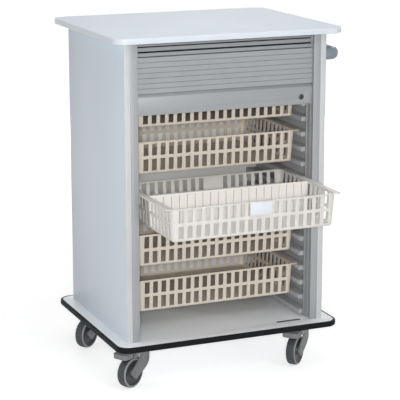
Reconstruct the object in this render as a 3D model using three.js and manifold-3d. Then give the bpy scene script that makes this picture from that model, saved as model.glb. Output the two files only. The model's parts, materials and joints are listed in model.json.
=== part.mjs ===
// Mobile clinic cart: a coated-board cabinet on four swivel casters, with lattice baskets that
// slide on moulded runner ladders behind a slatted roller shutter.
// Millimetres, +Z up, +X to the right of someone facing the open front, +Y towards the back.
// The origin is on the floor, under the centre of the box that the whole cart fills.

import * as THREE from 'three';
import { mergeVertices } from 'three/addons/utils/BufferGeometryUtils.js';
import Module from 'manifold-3d';

const wasm = await Module();
wasm.setup();

// Clearances, the overshoot of a cutter past the face it cuts, and the facets of round pieces
const SEAT_GAP = 0.3;
const SLIDE_GAP = 0.5;
const CUT_OVER = 1;
const ROUND_SIDES = 24;
const PIN_SIDES = 16;
const CORNER_STEPS = 3;
const BOARD_CORNER_STEPS = 5;

// Baskets: outer rim, tapered body, lattice slots
const RIM_WIDTH = 600;
const RIM_DEPTH = 400;
const RIM_THICK = 3;
const RIM_SIDE = 21;
const RIM_END = 2;
const RIM_CORNER = 12;
const BASKET_HEIGHT = 106;
const BASKET_DRAFT = 6;
const BASKET_CORNER = 14;
const BASKET_WALL = 2.5;
const BASKET_FLOOR = 3;
const SLOT_WIDTH = 16.5;
const SLOT_END_MARGIN = 18.5;
const FRONT_COLUMNS = 18;
const SIDE_COLUMNS = 12;
const SLOT_TOP_MARGIN = 7;
const SLOT_BOTTOM_MARGIN = 10;
const SLOT_BAND = 11;
const PULLED_BASKET = 3;
const PULLED_OUT = 292.5;
const DIVIDER_THICK = 3;
const DIVIDER_SETBACK = 195;
const LABEL_WIDTH = 78;
const LABEL_HEIGHT = 46;
const LABEL_THICK = 2.4;
const LABEL_RIM = 2.5;
const LABEL_OFFSET = 18;
const CARD_THICK = 0.6;

// Runner ladders on both side walls
const RAIL_COUNT = 15;
const RAIL_PITCH = 50.58;
const RAIL_START = 22.2;
const RAIL_THICK = 15;
const RAIL_TIP_GAP = 8;
const LADDER_PLATE = 3.7;
const RIM_SIDE_GAP = 3.5;
const BASKET_LIFT = 25;

// Cabinet boards
const PANEL_THICK = 19;
const BACK_THICK = 12;
const INNER_BACK_THICK = 6;
const CEILING_THICK = 6;
const TOP_THICK = 19;
const BASE_THICK = 18;
const BASKET_SETBACK = 78;
const BASKET_REAR_GAP = 3;
const HEAD_ROOM = 180.1;
const OVERHANG_SIDE = 44;
const OVERHANG_FRONT = 50;
const OVERHANG_BACK = 47;
const BOARD_CORNER = 45;
const BUMPER_THICK = 8;
const BUMPER_SWELL = 1.5;
const EDGE_BAND_THICK = 3;
const STRIKE_WIDTH = 82;
const STRIKE_DEPTH = 6;
const STRIKE_SINK = 14;

// Shutter guides and shutter
const GUIDE_FACE = 24.5;
const GUIDE_DEPTH = 50;
const GROOVE_SETBACK = 12;
const GROOVE_REACH = 9.5;
const SLAT_END_GAP = 2;
const SLAT_COUNT = 7;
const SLAT_PITCH = 16.3;
const SLAT_DEPTH = 8;
const SLAT_ROUND = 2;
const LEAD_BAR_HEIGHT = 66.5;
const LEAD_BAR_DEPTH = 12;
const LEAD_BAR_WALL = 2;
const LEAD_BAR_BEVEL = 9;
const TOP_BAND = 50;
const SHUTTER_DROP = 170;
const CURTAIN_GAP = 0.7;
const CURTAIN_THICK = 8;
const CURTAIN_NOTCH = 2.2;
const CURTAIN_BEND = 30;
const CURTAIN_TOP_GAP = 4;
const CURTAIN_INNER_GAP = 8;
const CURTAIN_REAR_GAP = 21;
const CURTAIN_REAR_DROP = 230;
const CURTAIN_OVERLAP = 3;

// Lock in the lead bar
const LOCK_RADIUS = 9;
const LOCK_PROUD = 2;
const LOCK_END_GAP = 1;
const LOCK_EDGE = 40;
const LOCK_HEIGHT = 24;
const BOLT_WIDTH = 50;
const BOLT_THICK = 4;
const BOLT_HEIGHT = 30;
const BOLT_INSET = 1;
const BOLT_GAP = 6;
const KEYWAY_WIDTH = 2;
const KEYWAY_HEIGHT = 8;
const KEYWAY_DEPTH = 3;

// Push handle on the right side panel
const HANDLE_TALL = 37;
const HANDLE_DEEP = 26;
const HANDLE_LEG = 15.4;
const HANDLE_BEND = 40;
const HANDLE_END_INSET = 30;
const HANDLE_DROP = 76;
const HANDLE_SIDES = 14;
const HANDLE_BEND_STEPS = 5;
const FOOT_THICK = 4;
const FOOT_LIP = 5;
const FOOT_CORNER = 12;

// Casters
const WHEEL_DIAMETER = 100;
const WHEEL_WIDTH = 32;
const TYRE_THICK = 12;
const TYRE_SEGMENTS = 26;
const TREAD_CROWN = 1;
const TREAD_ROUND = 4;
const CORE_SEGMENTS = 18;
const CORE_RIM_INSET = 3;
const CORE_WEB_INSET = 7;
const AXLE_RADIUS = 5;
const AXLE_HEAD = 1.5;
const HUB_RADIUS = 14;
const HUB_FLARE = 4;
const HUB_INSET = 1;
const TRAIL = 45;
const LEG_GAP = 2;
const LEG_THICK = 5;
const LEG_LEAN = 42;
const LEG_HALF = 18;
const LEG_PAST_AXLE = 14;
const LEG_CORNER = 8;
const HOOD_GAP = 3;
const HOOD_THICK = 24;
const HOOD_BACK = 26;
const HOOD_FRONT = 52;
const HOOD_SKIRT = 42;
const SKIRT_CURVE = 24;
const RACE_RADIUS = 24;
const RACE_THICK = 4;
const PLATE_THICK = 6;
const PLATE_LENGTH = 100;
const PLATE_WIDTH = 84;
const PLATE_CORNER = 10;
const PEDAL_REACH = 50;
const PEDAL_WIDTH = 56;
const PEDAL_THICK = 16;
const PEDAL_CORNER = 14;
const CASTER_INSET_X = 100.5;
const CASTER_INSET_Y = 97;
const CASTER_TRAIL_ANGLES = { front_left: -150, front_right: -137, rear_left: -144, rear_right: -141 };

// Widths and depths worked out from the pieces above
const OPENING_WIDTH = RIM_WIDTH + 2 * RIM_SIDE_GAP;
const HALF_OPENING = OPENING_WIDTH / 2;
const HALF_INSIDE = HALF_OPENING + GUIDE_FACE;
const HALF_BODY = HALF_INSIDE + PANEL_THICK;
const INNER_BACK_FRONT = BASKET_SETBACK + RIM_DEPTH + BASKET_REAR_GAP;
const INNER_BACK_REAR = INNER_BACK_FRONT + INNER_BACK_THICK;
const CURTAIN_REAR_MID = INNER_BACK_REAR + CURTAIN_INNER_GAP + CURTAIN_THICK / 2;
const BODY_DEPTH = CURTAIN_REAR_MID + CURTAIN_THICK / 2 + CURTAIN_REAR_GAP + BACK_THICK;
const FOOT_WIDTH = 2 * (HALF_BODY + OVERHANG_SIDE);
const FOOT_DEPTH = OVERHANG_FRONT + BODY_DEPTH + OVERHANG_BACK;
const FOOT_CENTRE_Y = (BODY_DEPTH + OVERHANG_BACK - OVERHANG_FRONT) / 2;

// Heights above the floor
const WHEEL_RADIUS = WHEEL_DIAMETER / 2;
const HOOD_LOW = WHEEL_DIAMETER + HOOD_GAP;
const HOOD_TOP = HOOD_LOW + HOOD_THICK;
const PEDAL_BARREL = PEDAL_THICK / 2;
const PLATE_LOW = HOOD_TOP + RACE_THICK;
const BASE_LOW = PLATE_LOW + PLATE_THICK;
const BASE_TOP = BASE_LOW + BASE_THICK;
const BODY_HEIGHT = RAIL_START + RAIL_PITCH * RAIL_COUNT + HEAD_ROOM;
const TOP_LOW = BASE_TOP + BODY_HEIGHT;
const SLATS_TOP = TOP_LOW - TOP_BAND;
const LEAD_TOP = SLATS_TOP - SLAT_COUNT * SLAT_PITCH;
const LEAD_LOW = LEAD_TOP - LEAD_BAR_HEIGHT;
const CURTAIN_MID_TOP = TOP_LOW - CURTAIN_TOP_GAP - CURTAIN_THICK / 2;
const CEILING_TOP = CURTAIN_MID_TOP - CURTAIN_THICK / 2 - SEAT_GAP;
const CEILING_LOW = CEILING_TOP - CEILING_THICK;
const RAILS_PER_BASKET = Math.ceil((BASKET_HEIGHT + BASKET_LIFT) / RAIL_PITCH);

// Depths of the shutter, and places along the lead bar
const SLAT_FRONT = GROOVE_SETBACK + SLIDE_GAP;
const SLAT_BACK = SLAT_FRONT + SLAT_DEPTH;
const SLAT_HALF_LENGTH = HALF_OPENING + GROOVE_REACH - SLAT_END_GAP;
const LEAD_FRONT = SLAT_BACK - LEAD_BAR_DEPTH;
const LEAD_MID = (LEAD_FRONT + SLAT_BACK) / 2;
const CURTAIN_FRONT_MID = SLAT_BACK + CURTAIN_GAP + CURTAIN_THICK / 2;
const LOCK_X = HALF_OPENING - LOCK_EDGE;
const BOLT_RIGHT = LOCK_X - LOCK_RADIUS - BOLT_GAP;

// How far the grip of the push handle stands out from the side panel
const HANDLE_STANDOFF = FOOT_THICK + 2 * SEAT_GAP + HANDLE_LEG + HANDLE_BEND + HANDLE_DEEP / 2;

// The box that the whole cart fills, and the shift that puts its centre over the origin
const PULLED_FRONT = BASKET_SETBACK - PULLED_OUT;
const BOX_LEFT = -FOOT_WIDTH / 2;
const BOX_RIGHT = Math.max(FOOT_WIDTH / 2, HALF_BODY + HANDLE_STANDOFF);
const BOX_FRONT = Math.min(-OVERHANG_FRONT, PULLED_FRONT - SEAT_GAP - LABEL_THICK);
const BOX_BACK = BODY_DEPTH + OVERHANG_BACK;

// Finishes
function finish(color, roughness, metalness = 0) {
  return new THREE.MeshStandardMaterial({ color, roughness, metalness });
}

const BOARD = finish('#dde3ea', 0.45);
const EDGE = finish('#d6dae0', 0.4);
const BUMPER = finish('#15181c', 0.6);
const ALUMINIUM = finish('#a3a8ac', 0.35, 0.6);
const SLAT_GREY = finish('#a4a8ab', 0.5);
const LADDER_GREY = finish('#aeb2b6', 0.5);
const IVORY = finish('#d9cdbf', 0.45);
const LABEL_WHITE = finish('#dde1ec', 0.4);
const HANDLE_GREY = finish('#8d989f', 0.45);
const STEEL = finish('#9a9da0', 0.3, 0.9);
const FORK_GREY = finish('#74777a', 0.5);
const TYRE_GREY = finish('#3a3e42', 0.7);
const CORE_GREY = finish('#55585b', 0.5);

// Solids from closed surfaces
function weld(geometry) {
  const bare = new THREE.BufferGeometry();
  bare.setAttribute('position', geometry.getAttribute('position').clone());
  if (geometry.index) bare.setIndex(geometry.index.clone());
  return mergeVertices(bare);
}

function toSolid(geometry) {
  const welded = weld(geometry);
  const vertProperties = new Float32Array(welded.getAttribute('position').array);
  const triVerts = new Uint32Array(welded.index.array);
  return new wasm.Manifold(new wasm.Mesh({ numProp: 3, vertProperties, triVerts }));
}

function toGeometry(solid) {
  const mesh = solid.getMesh();
  const geometry = new THREE.BufferGeometry();
  geometry.setAttribute('position', new THREE.BufferAttribute(new Float32Array(mesh.vertProperties), 3));
  geometry.setIndex(new THREE.BufferAttribute(new Uint32Array(mesh.triVerts), 1));
  return geometry;
}

function join(first, ...others) {
  return toGeometry(others.reduce((sum, other) => sum.add(toSolid(other)), toSolid(first)));
}

function cut(first, ...others) {
  return toGeometry(others.reduce((rest, other) => rest.subtract(toSolid(other)), toSolid(first)));
}

// Turns every triangle round when the surface encloses a negative volume
function facingOut(geometry) {
  const welded = weld(geometry);
  const index = welded.index.array;
  const place = welded.getAttribute('position');
  const [a, b, c] = [new THREE.Vector3(), new THREE.Vector3(), new THREE.Vector3()];
  let volume = 0;
  for (let i = 0; i < index.length; i += 3) {
    a.fromBufferAttribute(place, index[i]);
    b.fromBufferAttribute(place, index[i + 1]);
    c.fromBufferAttribute(place, index[i + 2]);
    volume += a.dot(b.cross(c)) / 6;
  }
  if (volume < 0) {
    for (let i = 0; i < index.length; i += 3) {
      [index[i], index[i + 1]] = [index[i + 1], index[i]];
    }
  }
  return welded;
}

function box(x0, x1, y0, y1, z0, z1) {
  const geometry = new THREE.BoxGeometry(Math.abs(x1 - x0), Math.abs(y1 - y0), Math.abs(z1 - z0));
  return weld(geometry.translate((x0 + x1) / 2, (y0 + y1) / 2, (z0 + z1) / 2));
}

function outline(points) {
  return new THREE.Shape(points.map(([u, v]) => new THREE.Vector2(u, v)));
}

// A plan outline in X and Y raised from z0 to z1
function raise(shape, z0, z1, curveSegments = BOARD_CORNER_STEPS) {
  const geometry = new THREE.ExtrudeGeometry(shape, { depth: z1 - z0, bevelEnabled: false, curveSegments });
  return weld(geometry.translate(0, 0, z0));
}

// A section in Y and Z drawn along X from x0 to x1
function drawAlongX(shape, x0, x1) {
  const curveSegments = CORNER_STEPS;
  const geometry = new THREE.ExtrudeGeometry(shape, { depth: x1 - x0, bevelEnabled: false, curveSegments });
  const turn = new THREE.Matrix4().makeBasis(
    new THREE.Vector3(0, 1, 0),
    new THREE.Vector3(0, 0, 1),
    new THREE.Vector3(1, 0, 0),
  );
  return weld(geometry.applyMatrix4(turn).translate(x0, 0, 0));
}

// A side view in X and Z drawn along Y from y0 to y1
function drawAlongY(shape, y0, y1, curveSegments = BOARD_CORNER_STEPS) {
  const geometry = new THREE.ExtrudeGeometry(shape, { depth: y1 - y0, bevelEnabled: false, curveSegments });
  return weld(geometry.rotateX(Math.PI / 2).translate(0, y1, 0));
}

function rodAlongY(radius, x, z, y0, y1, sides) {
  const geometry = new THREE.CylinderGeometry(radius, radius, y1 - y0, sides);
  return weld(geometry.translate(x, (y0 + y1) / 2, z));
}

function roundedRect(width, depth, radius, centreY = 0) {
  const x = width / 2 - radius;
  const y = depth / 2 - radius;
  const shape = new THREE.Shape();
  shape.absarc(x, centreY - y, radius, -Math.PI / 2, 0);
  shape.absarc(x, centreY + y, radius, 0, Math.PI / 2);
  shape.absarc(-x, centreY + y, radius, Math.PI / 2, Math.PI);
  shape.absarc(-x, centreY - y, radius, Math.PI, Math.PI * 1.5);
  shape.closePath();
  return shape;
}

// A closed skin through rings of equal point counts, capped at both ends
function loft(rings) {
  const count = rings[0].length;
  const place = rings.flat().flatMap((point) => point.toArray());
  const index = [];
  for (let k = 0; k + 1 < rings.length; k += 1) {
    for (let i = 0; i < count; i += 1) {
      const a = k * count + i;
      const b = k * count + ((i + 1) % count);
      index.push(a, b, b + count, a, b + count, a + count);
    }
  }
  const last = (rings.length - 1) * count;
  for (let i = 1; i + 1 < count; i += 1) {
    index.push(0, i + 1, i, last, last + i, last + i + 1);
  }
  const geometry = new THREE.BufferGeometry();
  geometry.setAttribute('position', new THREE.Float32BufferAttribute(place, 3));
  geometry.setIndex(index);
  return facingOut(geometry);
}

function ringAt(width, depth, radius, centreY, z, cornerSteps) {
  const points = roundedRect(width, depth, radius, centreY).extractPoints(cornerSteps).shape;
  return points.map((point) => new THREE.Vector3(point.x, point.y, z));
}

// A solid of revolution round the Y axis, from a closed profile of [radius, y] pairs
function turnRoundY(profile, segments, startAngle = 0) {
  const points = [...profile, profile[0]].map(([r, y]) => new THREE.Vector2(r, y));
  return facingOut(new THREE.LatheGeometry(points, segments, startAngle));
}

function piece(name, geometry, material) {
  const mesh = new THREE.Mesh(geometry, material);
  mesh.name = name;
  return mesh;
}

// Base board with the strike slot for the lock bolt, and its bumper all round
function baseBoard() {
  const grip = BUMPER_THICK + SEAT_GAP;
  const plan = roundedRect(FOOT_WIDTH - 2 * grip, FOOT_DEPTH - 2 * grip, BOARD_CORNER - grip, FOOT_CENTRE_Y);
  const strikeRight = LOCK_X + LOCK_RADIUS;
  const strike = box(
    strikeRight - STRIKE_WIDTH,
    strikeRight,
    LEAD_MID - STRIKE_DEPTH / 2,
    LEAD_MID + STRIKE_DEPTH / 2,
    BASE_TOP - STRIKE_SINK,
    BASE_TOP + CUT_OVER,
  );
  return piece('base_board', cut(raise(plan, BASE_LOW, BASE_TOP), strike), BOARD);
}

function bumper() {
  const inner = roundedRect(
    FOOT_WIDTH - 2 * BUMPER_THICK,
    FOOT_DEPTH - 2 * BUMPER_THICK,
    BOARD_CORNER - BUMPER_THICK,
    FOOT_CENTRE_Y,
  );
  const ring = (z, inset) => ringAt(
    FOOT_WIDTH - 2 * inset,
    FOOT_DEPTH - 2 * inset,
    BOARD_CORNER - inset,
    FOOT_CENTRE_Y,
    z,
    BOARD_CORNER_STEPS,
  );
  const skin = loft([
    ring(BASE_LOW, BUMPER_SWELL),
    ring(BASE_LOW + BASE_THICK / 4, 0),
    ring(BASE_TOP - BASE_THICK / 4, 0),
    ring(BASE_TOP, BUMPER_SWELL),
  ]);
  const bore = raise(inner, BASE_LOW - CUT_OVER, BASE_TOP + CUT_OVER);
  return piece('base_bumper', cut(skin, bore), BUMPER);
}

// Top board and the thin band glued round its edge
function topBoard() {
  const low = TOP_LOW + SEAT_GAP;
  const high = TOP_LOW + TOP_THICK;
  const grip = EDGE_BAND_THICK + SEAT_GAP;
  const plan = roundedRect(FOOT_WIDTH - 2 * grip, FOOT_DEPTH - 2 * grip, BOARD_CORNER - grip, FOOT_CENTRE_Y);
  const outer = roundedRect(FOOT_WIDTH, FOOT_DEPTH, BOARD_CORNER, FOOT_CENTRE_Y);
  const inner = roundedRect(
    FOOT_WIDTH - 2 * EDGE_BAND_THICK,
    FOOT_DEPTH - 2 * EDGE_BAND_THICK,
    BOARD_CORNER - EDGE_BAND_THICK,
    FOOT_CENTRE_Y,
  );
  outer.holes.push(inner);
  return [
    piece('top_board', raise(plan, low, high), BOARD),
    piece('top_edge_band', raise(outer, low, high), EDGE),
  ];
}

// Upright boards: two sides, the outer back, and the inner back and ceiling in front of the curtain
function uprights() {
  const low = BASE_TOP + SEAT_GAP;
  const high = TOP_LOW - SEAT_GAP;
  const halfBack = HALF_INSIDE - SEAT_GAP;
  const innerBackTop = CURTAIN_MID_TOP - CURTAIN_BEND;
  const ceilingFront = CURTAIN_FRONT_MID + CURTAIN_BEND + SLAT_PITCH;
  const ceilingRear = CURTAIN_REAR_MID - CURTAIN_BEND - SLAT_PITCH;
  const back = box(-halfBack, halfBack, BODY_DEPTH - BACK_THICK, BODY_DEPTH, low, high);
  const innerBack = box(-halfBack, halfBack, INNER_BACK_FRONT, INNER_BACK_REAR, low, innerBackTop);
  const ceiling = box(-halfBack, halfBack, ceilingFront, ceilingRear, CEILING_LOW, CEILING_TOP);
  return [
    piece('left_side_panel', box(-HALF_BODY, -HALF_INSIDE, 0, BODY_DEPTH, low, high), BOARD),
    piece('right_side_panel', box(HALF_INSIDE, HALF_BODY, 0, BODY_DEPTH, low, high), BOARD),
    piece('back_panel', back, BOARD),
    piece('inner_back_panel', innerBack, BOARD),
    piece('inner_ceiling_panel', ceiling, BOARD),
  ];
}

// Aluminium guide profiles, grooved for the slat ends; side is -1 on the left and 1 on the right
function shutterGuide(name, side) {
  const face = side * HALF_OPENING;
  const wall = side * (HALF_INSIDE - SEAT_GAP);
  const grooveEnd = side * (HALF_OPENING + GROOVE_REACH);
  const grooveBack = GROOVE_SETBACK + SLAT_DEPTH + 2 * SLIDE_GAP;
  const section = outline([
    [wall, 0],
    [face, 0],
    [face, GROOVE_SETBACK],
    [grooveEnd, GROOVE_SETBACK],
    [grooveEnd, grooveBack],
    [face, grooveBack],
    [face, GUIDE_DEPTH],
    [wall, GUIDE_DEPTH],
  ]);
  return piece(name, raise(section, BASE_TOP + SEAT_GAP, TOP_LOW - SEAT_GAP), ALUMINIUM);
}

// Moulded ladder: one plate with a ledge for every basket level, from the base board up
function railTop(level) {
  return BASE_TOP + RAIL_START + RAIL_PITCH * level;
}

function runnerLadder(name, side) {
  const plateFront = GUIDE_DEPTH + SEAT_GAP;
  const plateBack = INNER_BACK_FRONT - SEAT_GAP;
  const plateOuter = side * (HALF_INSIDE - SEAT_GAP);
  const plateInner = side * (HALF_INSIDE - SEAT_GAP - LADDER_PLATE);
  const tip = side * (RIM_WIDTH / 2 - RIM_SIDE + RAIL_TIP_GAP);
  const low = BASE_TOP + SEAT_GAP;
  const high = CEILING_LOW - SEAT_GAP;
  const plate = box(plateInner, plateOuter, plateFront, plateBack, low, high);
  const overlap = side * LADDER_PLATE / 2;
  const rails = [];
  for (let level = 0; level <= RAIL_COUNT; level += 1) {
    const top = railTop(level);
    rails.push(box(tip, plateInner + overlap, plateFront, plateBack, top - RAIL_THICK, top));
  }
  return piece(name, join(plate, ...rails), LADDER_GREY);
}

// Basket: rim flange, tapered walls and floor, with the lattice slots cut through.
// Local frame: X centred, front rim edge at Y 0, underside of the rim at Z 0.
function basketGeometry() {
  const draftAt = (z) => BASKET_DRAFT * (RIM_THICK - z) / BASKET_HEIGHT;
  const floorLow = RIM_THICK - BASKET_HEIGHT;
  const centreY = RIM_DEPTH / 2;
  const bodyWidth = RIM_WIDTH - 2 * RIM_SIDE;
  const bodyDepth = RIM_DEPTH - 2 * RIM_END;
  const bodyRing = (z, inset) => ringAt(
    bodyWidth - 2 * (draftAt(z) + inset),
    bodyDepth - 2 * (draftAt(z) + inset),
    BASKET_CORNER - inset,
    centreY,
    z,
    CORNER_STEPS,
  );
  const body = loft([bodyRing(floorLow, 0), bodyRing(RIM_THICK, 0)]);
  const hollow = loft([
    bodyRing(floorLow + BASKET_FLOOR, BASKET_WALL),
    bodyRing(RIM_THICK + CUT_OVER, BASKET_WALL),
  ]);
  const rim = raise(roundedRect(RIM_WIDTH, RIM_DEPTH, RIM_CORNER, centreY), 0, RIM_THICK, CORNER_STEPS);
  const slotTop = RIM_THICK - SLOT_TOP_MARGIN;
  const slotLow = floorLow + SLOT_BOTTOM_MARGIN;
  const rowHeight = (slotTop - slotLow - SLOT_BAND) / 2;
  const rows = [[slotLow, slotLow + rowHeight], [slotTop - rowHeight, slotTop]];
  const floorWidth = bodyWidth - 2 * BASKET_DRAFT;
  const floorDepth = bodyDepth - 2 * BASKET_DRAFT;
  const reach = BASKET_DRAFT + BASKET_WALL + CUT_OVER;
  const slots = [];
  const frontPitch = (floorWidth - 2 * SLOT_END_MARGIN - SLOT_WIDTH) / (FRONT_COLUMNS - 1);
  for (let column = 0; column < FRONT_COLUMNS; column += 1) {
    const x = SLOT_END_MARGIN - floorWidth / 2 + column * frontPitch;
    for (const [low, high] of rows) {
      slots.push(box(x, x + SLOT_WIDTH, RIM_END - CUT_OVER, RIM_END + reach, low, high));
    }
  }
  const sidePitch = (floorDepth - 2 * SLOT_END_MARGIN - SLOT_WIDTH) / (SIDE_COLUMNS - 1);
  for (let column = 0; column < SIDE_COLUMNS; column += 1) {
    const y = centreY - floorDepth / 2 + SLOT_END_MARGIN + column * sidePitch;
    for (const side of [-1, 1]) {
      const outerX = side * (bodyWidth / 2 + CUT_OVER);
      const innerX = side * (bodyWidth / 2 - reach);
      slots.push(box(outerX, innerX, y, y + SLOT_WIDTH, slotLow, slotTop));
    }
  }
  return cut(join(body, rim), hollow, ...slots);
}

function placeBasket(number, geometry, pulledOut) {
  const level = RAIL_COUNT - RAILS_PER_BASKET * (number - 1);
  const group = new THREE.Group();
  group.position.set(0, BASKET_SETBACK - pulledOut, railTop(level) + SEAT_GAP);
  group.add(piece(`basket_${number}`, geometry, IVORY));
  return group;
}

// Loose divider plate that stands across a basket
function basketDivider() {
  const halfAt = (z) => RIM_WIDTH / 2 - RIM_SIDE - BASKET_WALL - SEAT_GAP
    - BASKET_DRAFT * (RIM_THICK - z) / BASKET_HEIGHT;
  const low = RIM_THICK - BASKET_HEIGHT + BASKET_FLOOR + SEAT_GAP;
  const high = RIM_THICK;
  const shape = outline([
    [-halfAt(low), low],
    [halfAt(low), low],
    [halfAt(high), high],
    [-halfAt(high), high],
  ]);
  const geometry = drawAlongY(shape, DIVIDER_SETBACK, DIVIDER_SETBACK + DIVIDER_THICK);
  return piece('basket_divider', geometry, IVORY);
}

// Card holder on the front edge of the rim, hanging in front of the wall, with its blank card
function labelHolder() {
  const group = new THREE.Group();
  group.position.set(LABEL_OFFSET, 0, RIM_THICK - LABEL_HEIGHT / 2);
  const halfWidth = LABEL_WIDTH / 2;
  const halfHeight = LABEL_HEIGHT / 2;
  const back = -SEAT_GAP;
  const front = back - LABEL_THICK;
  const pocketBack = back - LABEL_THICK / 2;
  const frame = box(-halfWidth, halfWidth, front, back, -halfHeight, halfHeight);
  const pocketX = halfWidth - LABEL_RIM;
  const pocketZ = halfHeight - LABEL_RIM;
  const pocket = box(-pocketX, pocketX, front - CUT_OVER, pocketBack, -pocketZ, pocketZ);
  const cardX = pocketX - SEAT_GAP;
  const cardZ = pocketZ - SEAT_GAP;
  const cardBack = pocketBack - SEAT_GAP;
  const card = box(-cardX, cardX, cardBack - CARD_THICK, cardBack, -cardZ, cardZ);
  group.add(piece('label_holder', cut(frame, pocket), IVORY));
  group.add(piece('label_card', card, LABEL_WHITE));
  return group;
}

function baskets() {
  const basketCount = RAIL_COUNT / RAILS_PER_BASKET;
  const geometry = basketGeometry();
  const groups = [];
  for (let number = 1; number <= basketCount; number += 1) {
    const pulled = number === PULLED_BASKET;
    const group = placeBasket(number, geometry, pulled ? PULLED_OUT : 0);
    if (pulled) group.add(basketDivider(), labelHolder());
    groups.push(group);
  }
  return groups;
}

// Shutter: seven slats and the lead bar, which run in the guide grooves
function shutterSlats() {
  const gap = SEAT_GAP / 2;
  const slats = [];
  for (let number = 1; number <= SLAT_COUNT; number += 1) {
    const low = SLATS_TOP - number * SLAT_PITCH + gap;
    const high = SLATS_TOP - (number - 1) * SLAT_PITCH - gap;
    const section = outline([
      [SLAT_BACK, low],
      [SLAT_BACK, high],
      [SLAT_FRONT + SLAT_ROUND, high],
      [SLAT_FRONT, high - SLAT_ROUND],
      [SLAT_FRONT, low + SLAT_ROUND],
      [SLAT_FRONT + SLAT_ROUND, low],
    ]);
    const geometry = drawAlongX(section, -SLAT_HALF_LENGTH, SLAT_HALF_LENGTH);
    slats.push(piece(`shutter_slat_${number}`, geometry, SLAT_GREY));
  }
  return slats;
}

function leadBar() {
  const high = LEAD_TOP - SEAT_GAP / 2;
  const low = LEAD_LOW;
  const halfBar = HALF_OPENING - SLIDE_GAP;
  const section = outline([
    [SLAT_BACK, low],
    [SLAT_BACK, high],
    [SLAT_FRONT, high],
    [LEAD_FRONT, high - LEAD_BAR_BEVEL],
    [LEAD_FRONT, low],
  ]);
  const hollowHigh = high - LEAD_BAR_BEVEL - LEAD_BAR_WALL;
  const hollow = box(
    -halfBar,
    halfBar,
    LEAD_FRONT + LEAD_BAR_WALL,
    SLAT_BACK - LEAD_BAR_WALL,
    low + LEAD_BAR_WALL,
    hollowHigh,
  );
  const tongue = (side) => box(
    side * (halfBar - LEAD_BAR_WALL),
    side * SLAT_HALF_LENGTH,
    SLAT_FRONT,
    SLAT_BACK,
    low,
    high,
  );
  const boltSlit = box(
    BOLT_RIGHT - BOLT_WIDTH - SEAT_GAP,
    BOLT_RIGHT + SEAT_GAP,
    LEAD_MID - BOLT_THICK / 2 - SEAT_GAP,
    LEAD_MID + BOLT_THICK / 2 + SEAT_GAP,
    low - CUT_OVER,
    low + LEAD_BAR_WALL + CUT_OVER,
  );
  const lockHole = rodAlongY(
    LOCK_RADIUS + SEAT_GAP,
    LOCK_X,
    low + LOCK_HEIGHT,
    LEAD_FRONT - CUT_OVER,
    LEAD_FRONT + LEAD_BAR_WALL + CUT_OVER,
    ROUND_SIDES,
  );
  const tube = cut(drawAlongX(section, -halfBar, halfBar), hollow);
  const closed = join(tube, tongue(-1), tongue(1));
  return piece('shutter_lead_bar', cut(closed, boltSlit, lockHole), SLAT_GREY);
}

function lock() {
  const lockFront = LEAD_FRONT - LOCK_PROUD;
  const height = LEAD_LOW + LOCK_HEIGHT;
  const lockBack = SLAT_BACK - LEAD_BAR_WALL - LOCK_END_GAP;
  const barrel = rodAlongY(LOCK_RADIUS, LOCK_X, height, lockFront, lockBack, ROUND_SIDES);
  const keyway = box(
    LOCK_X - KEYWAY_WIDTH / 2,
    LOCK_X + KEYWAY_WIDTH / 2,
    lockFront - CUT_OVER,
    lockFront + KEYWAY_DEPTH,
    height - KEYWAY_HEIGHT / 2,
    height + KEYWAY_HEIGHT / 2,
  );
  const boltLow = LEAD_LOW + BOLT_INSET;
  const bolt = box(
    BOLT_RIGHT - BOLT_WIDTH,
    BOLT_RIGHT,
    LEAD_MID - BOLT_THICK / 2,
    LEAD_MID + BOLT_THICK / 2,
    boltLow,
    boltLow + BOLT_HEIGHT,
  );
  return [piece('lock_cylinder', cut(barrel, keyway), STEEL), piece('lock_bolt', bolt, STEEL)];
}

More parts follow.
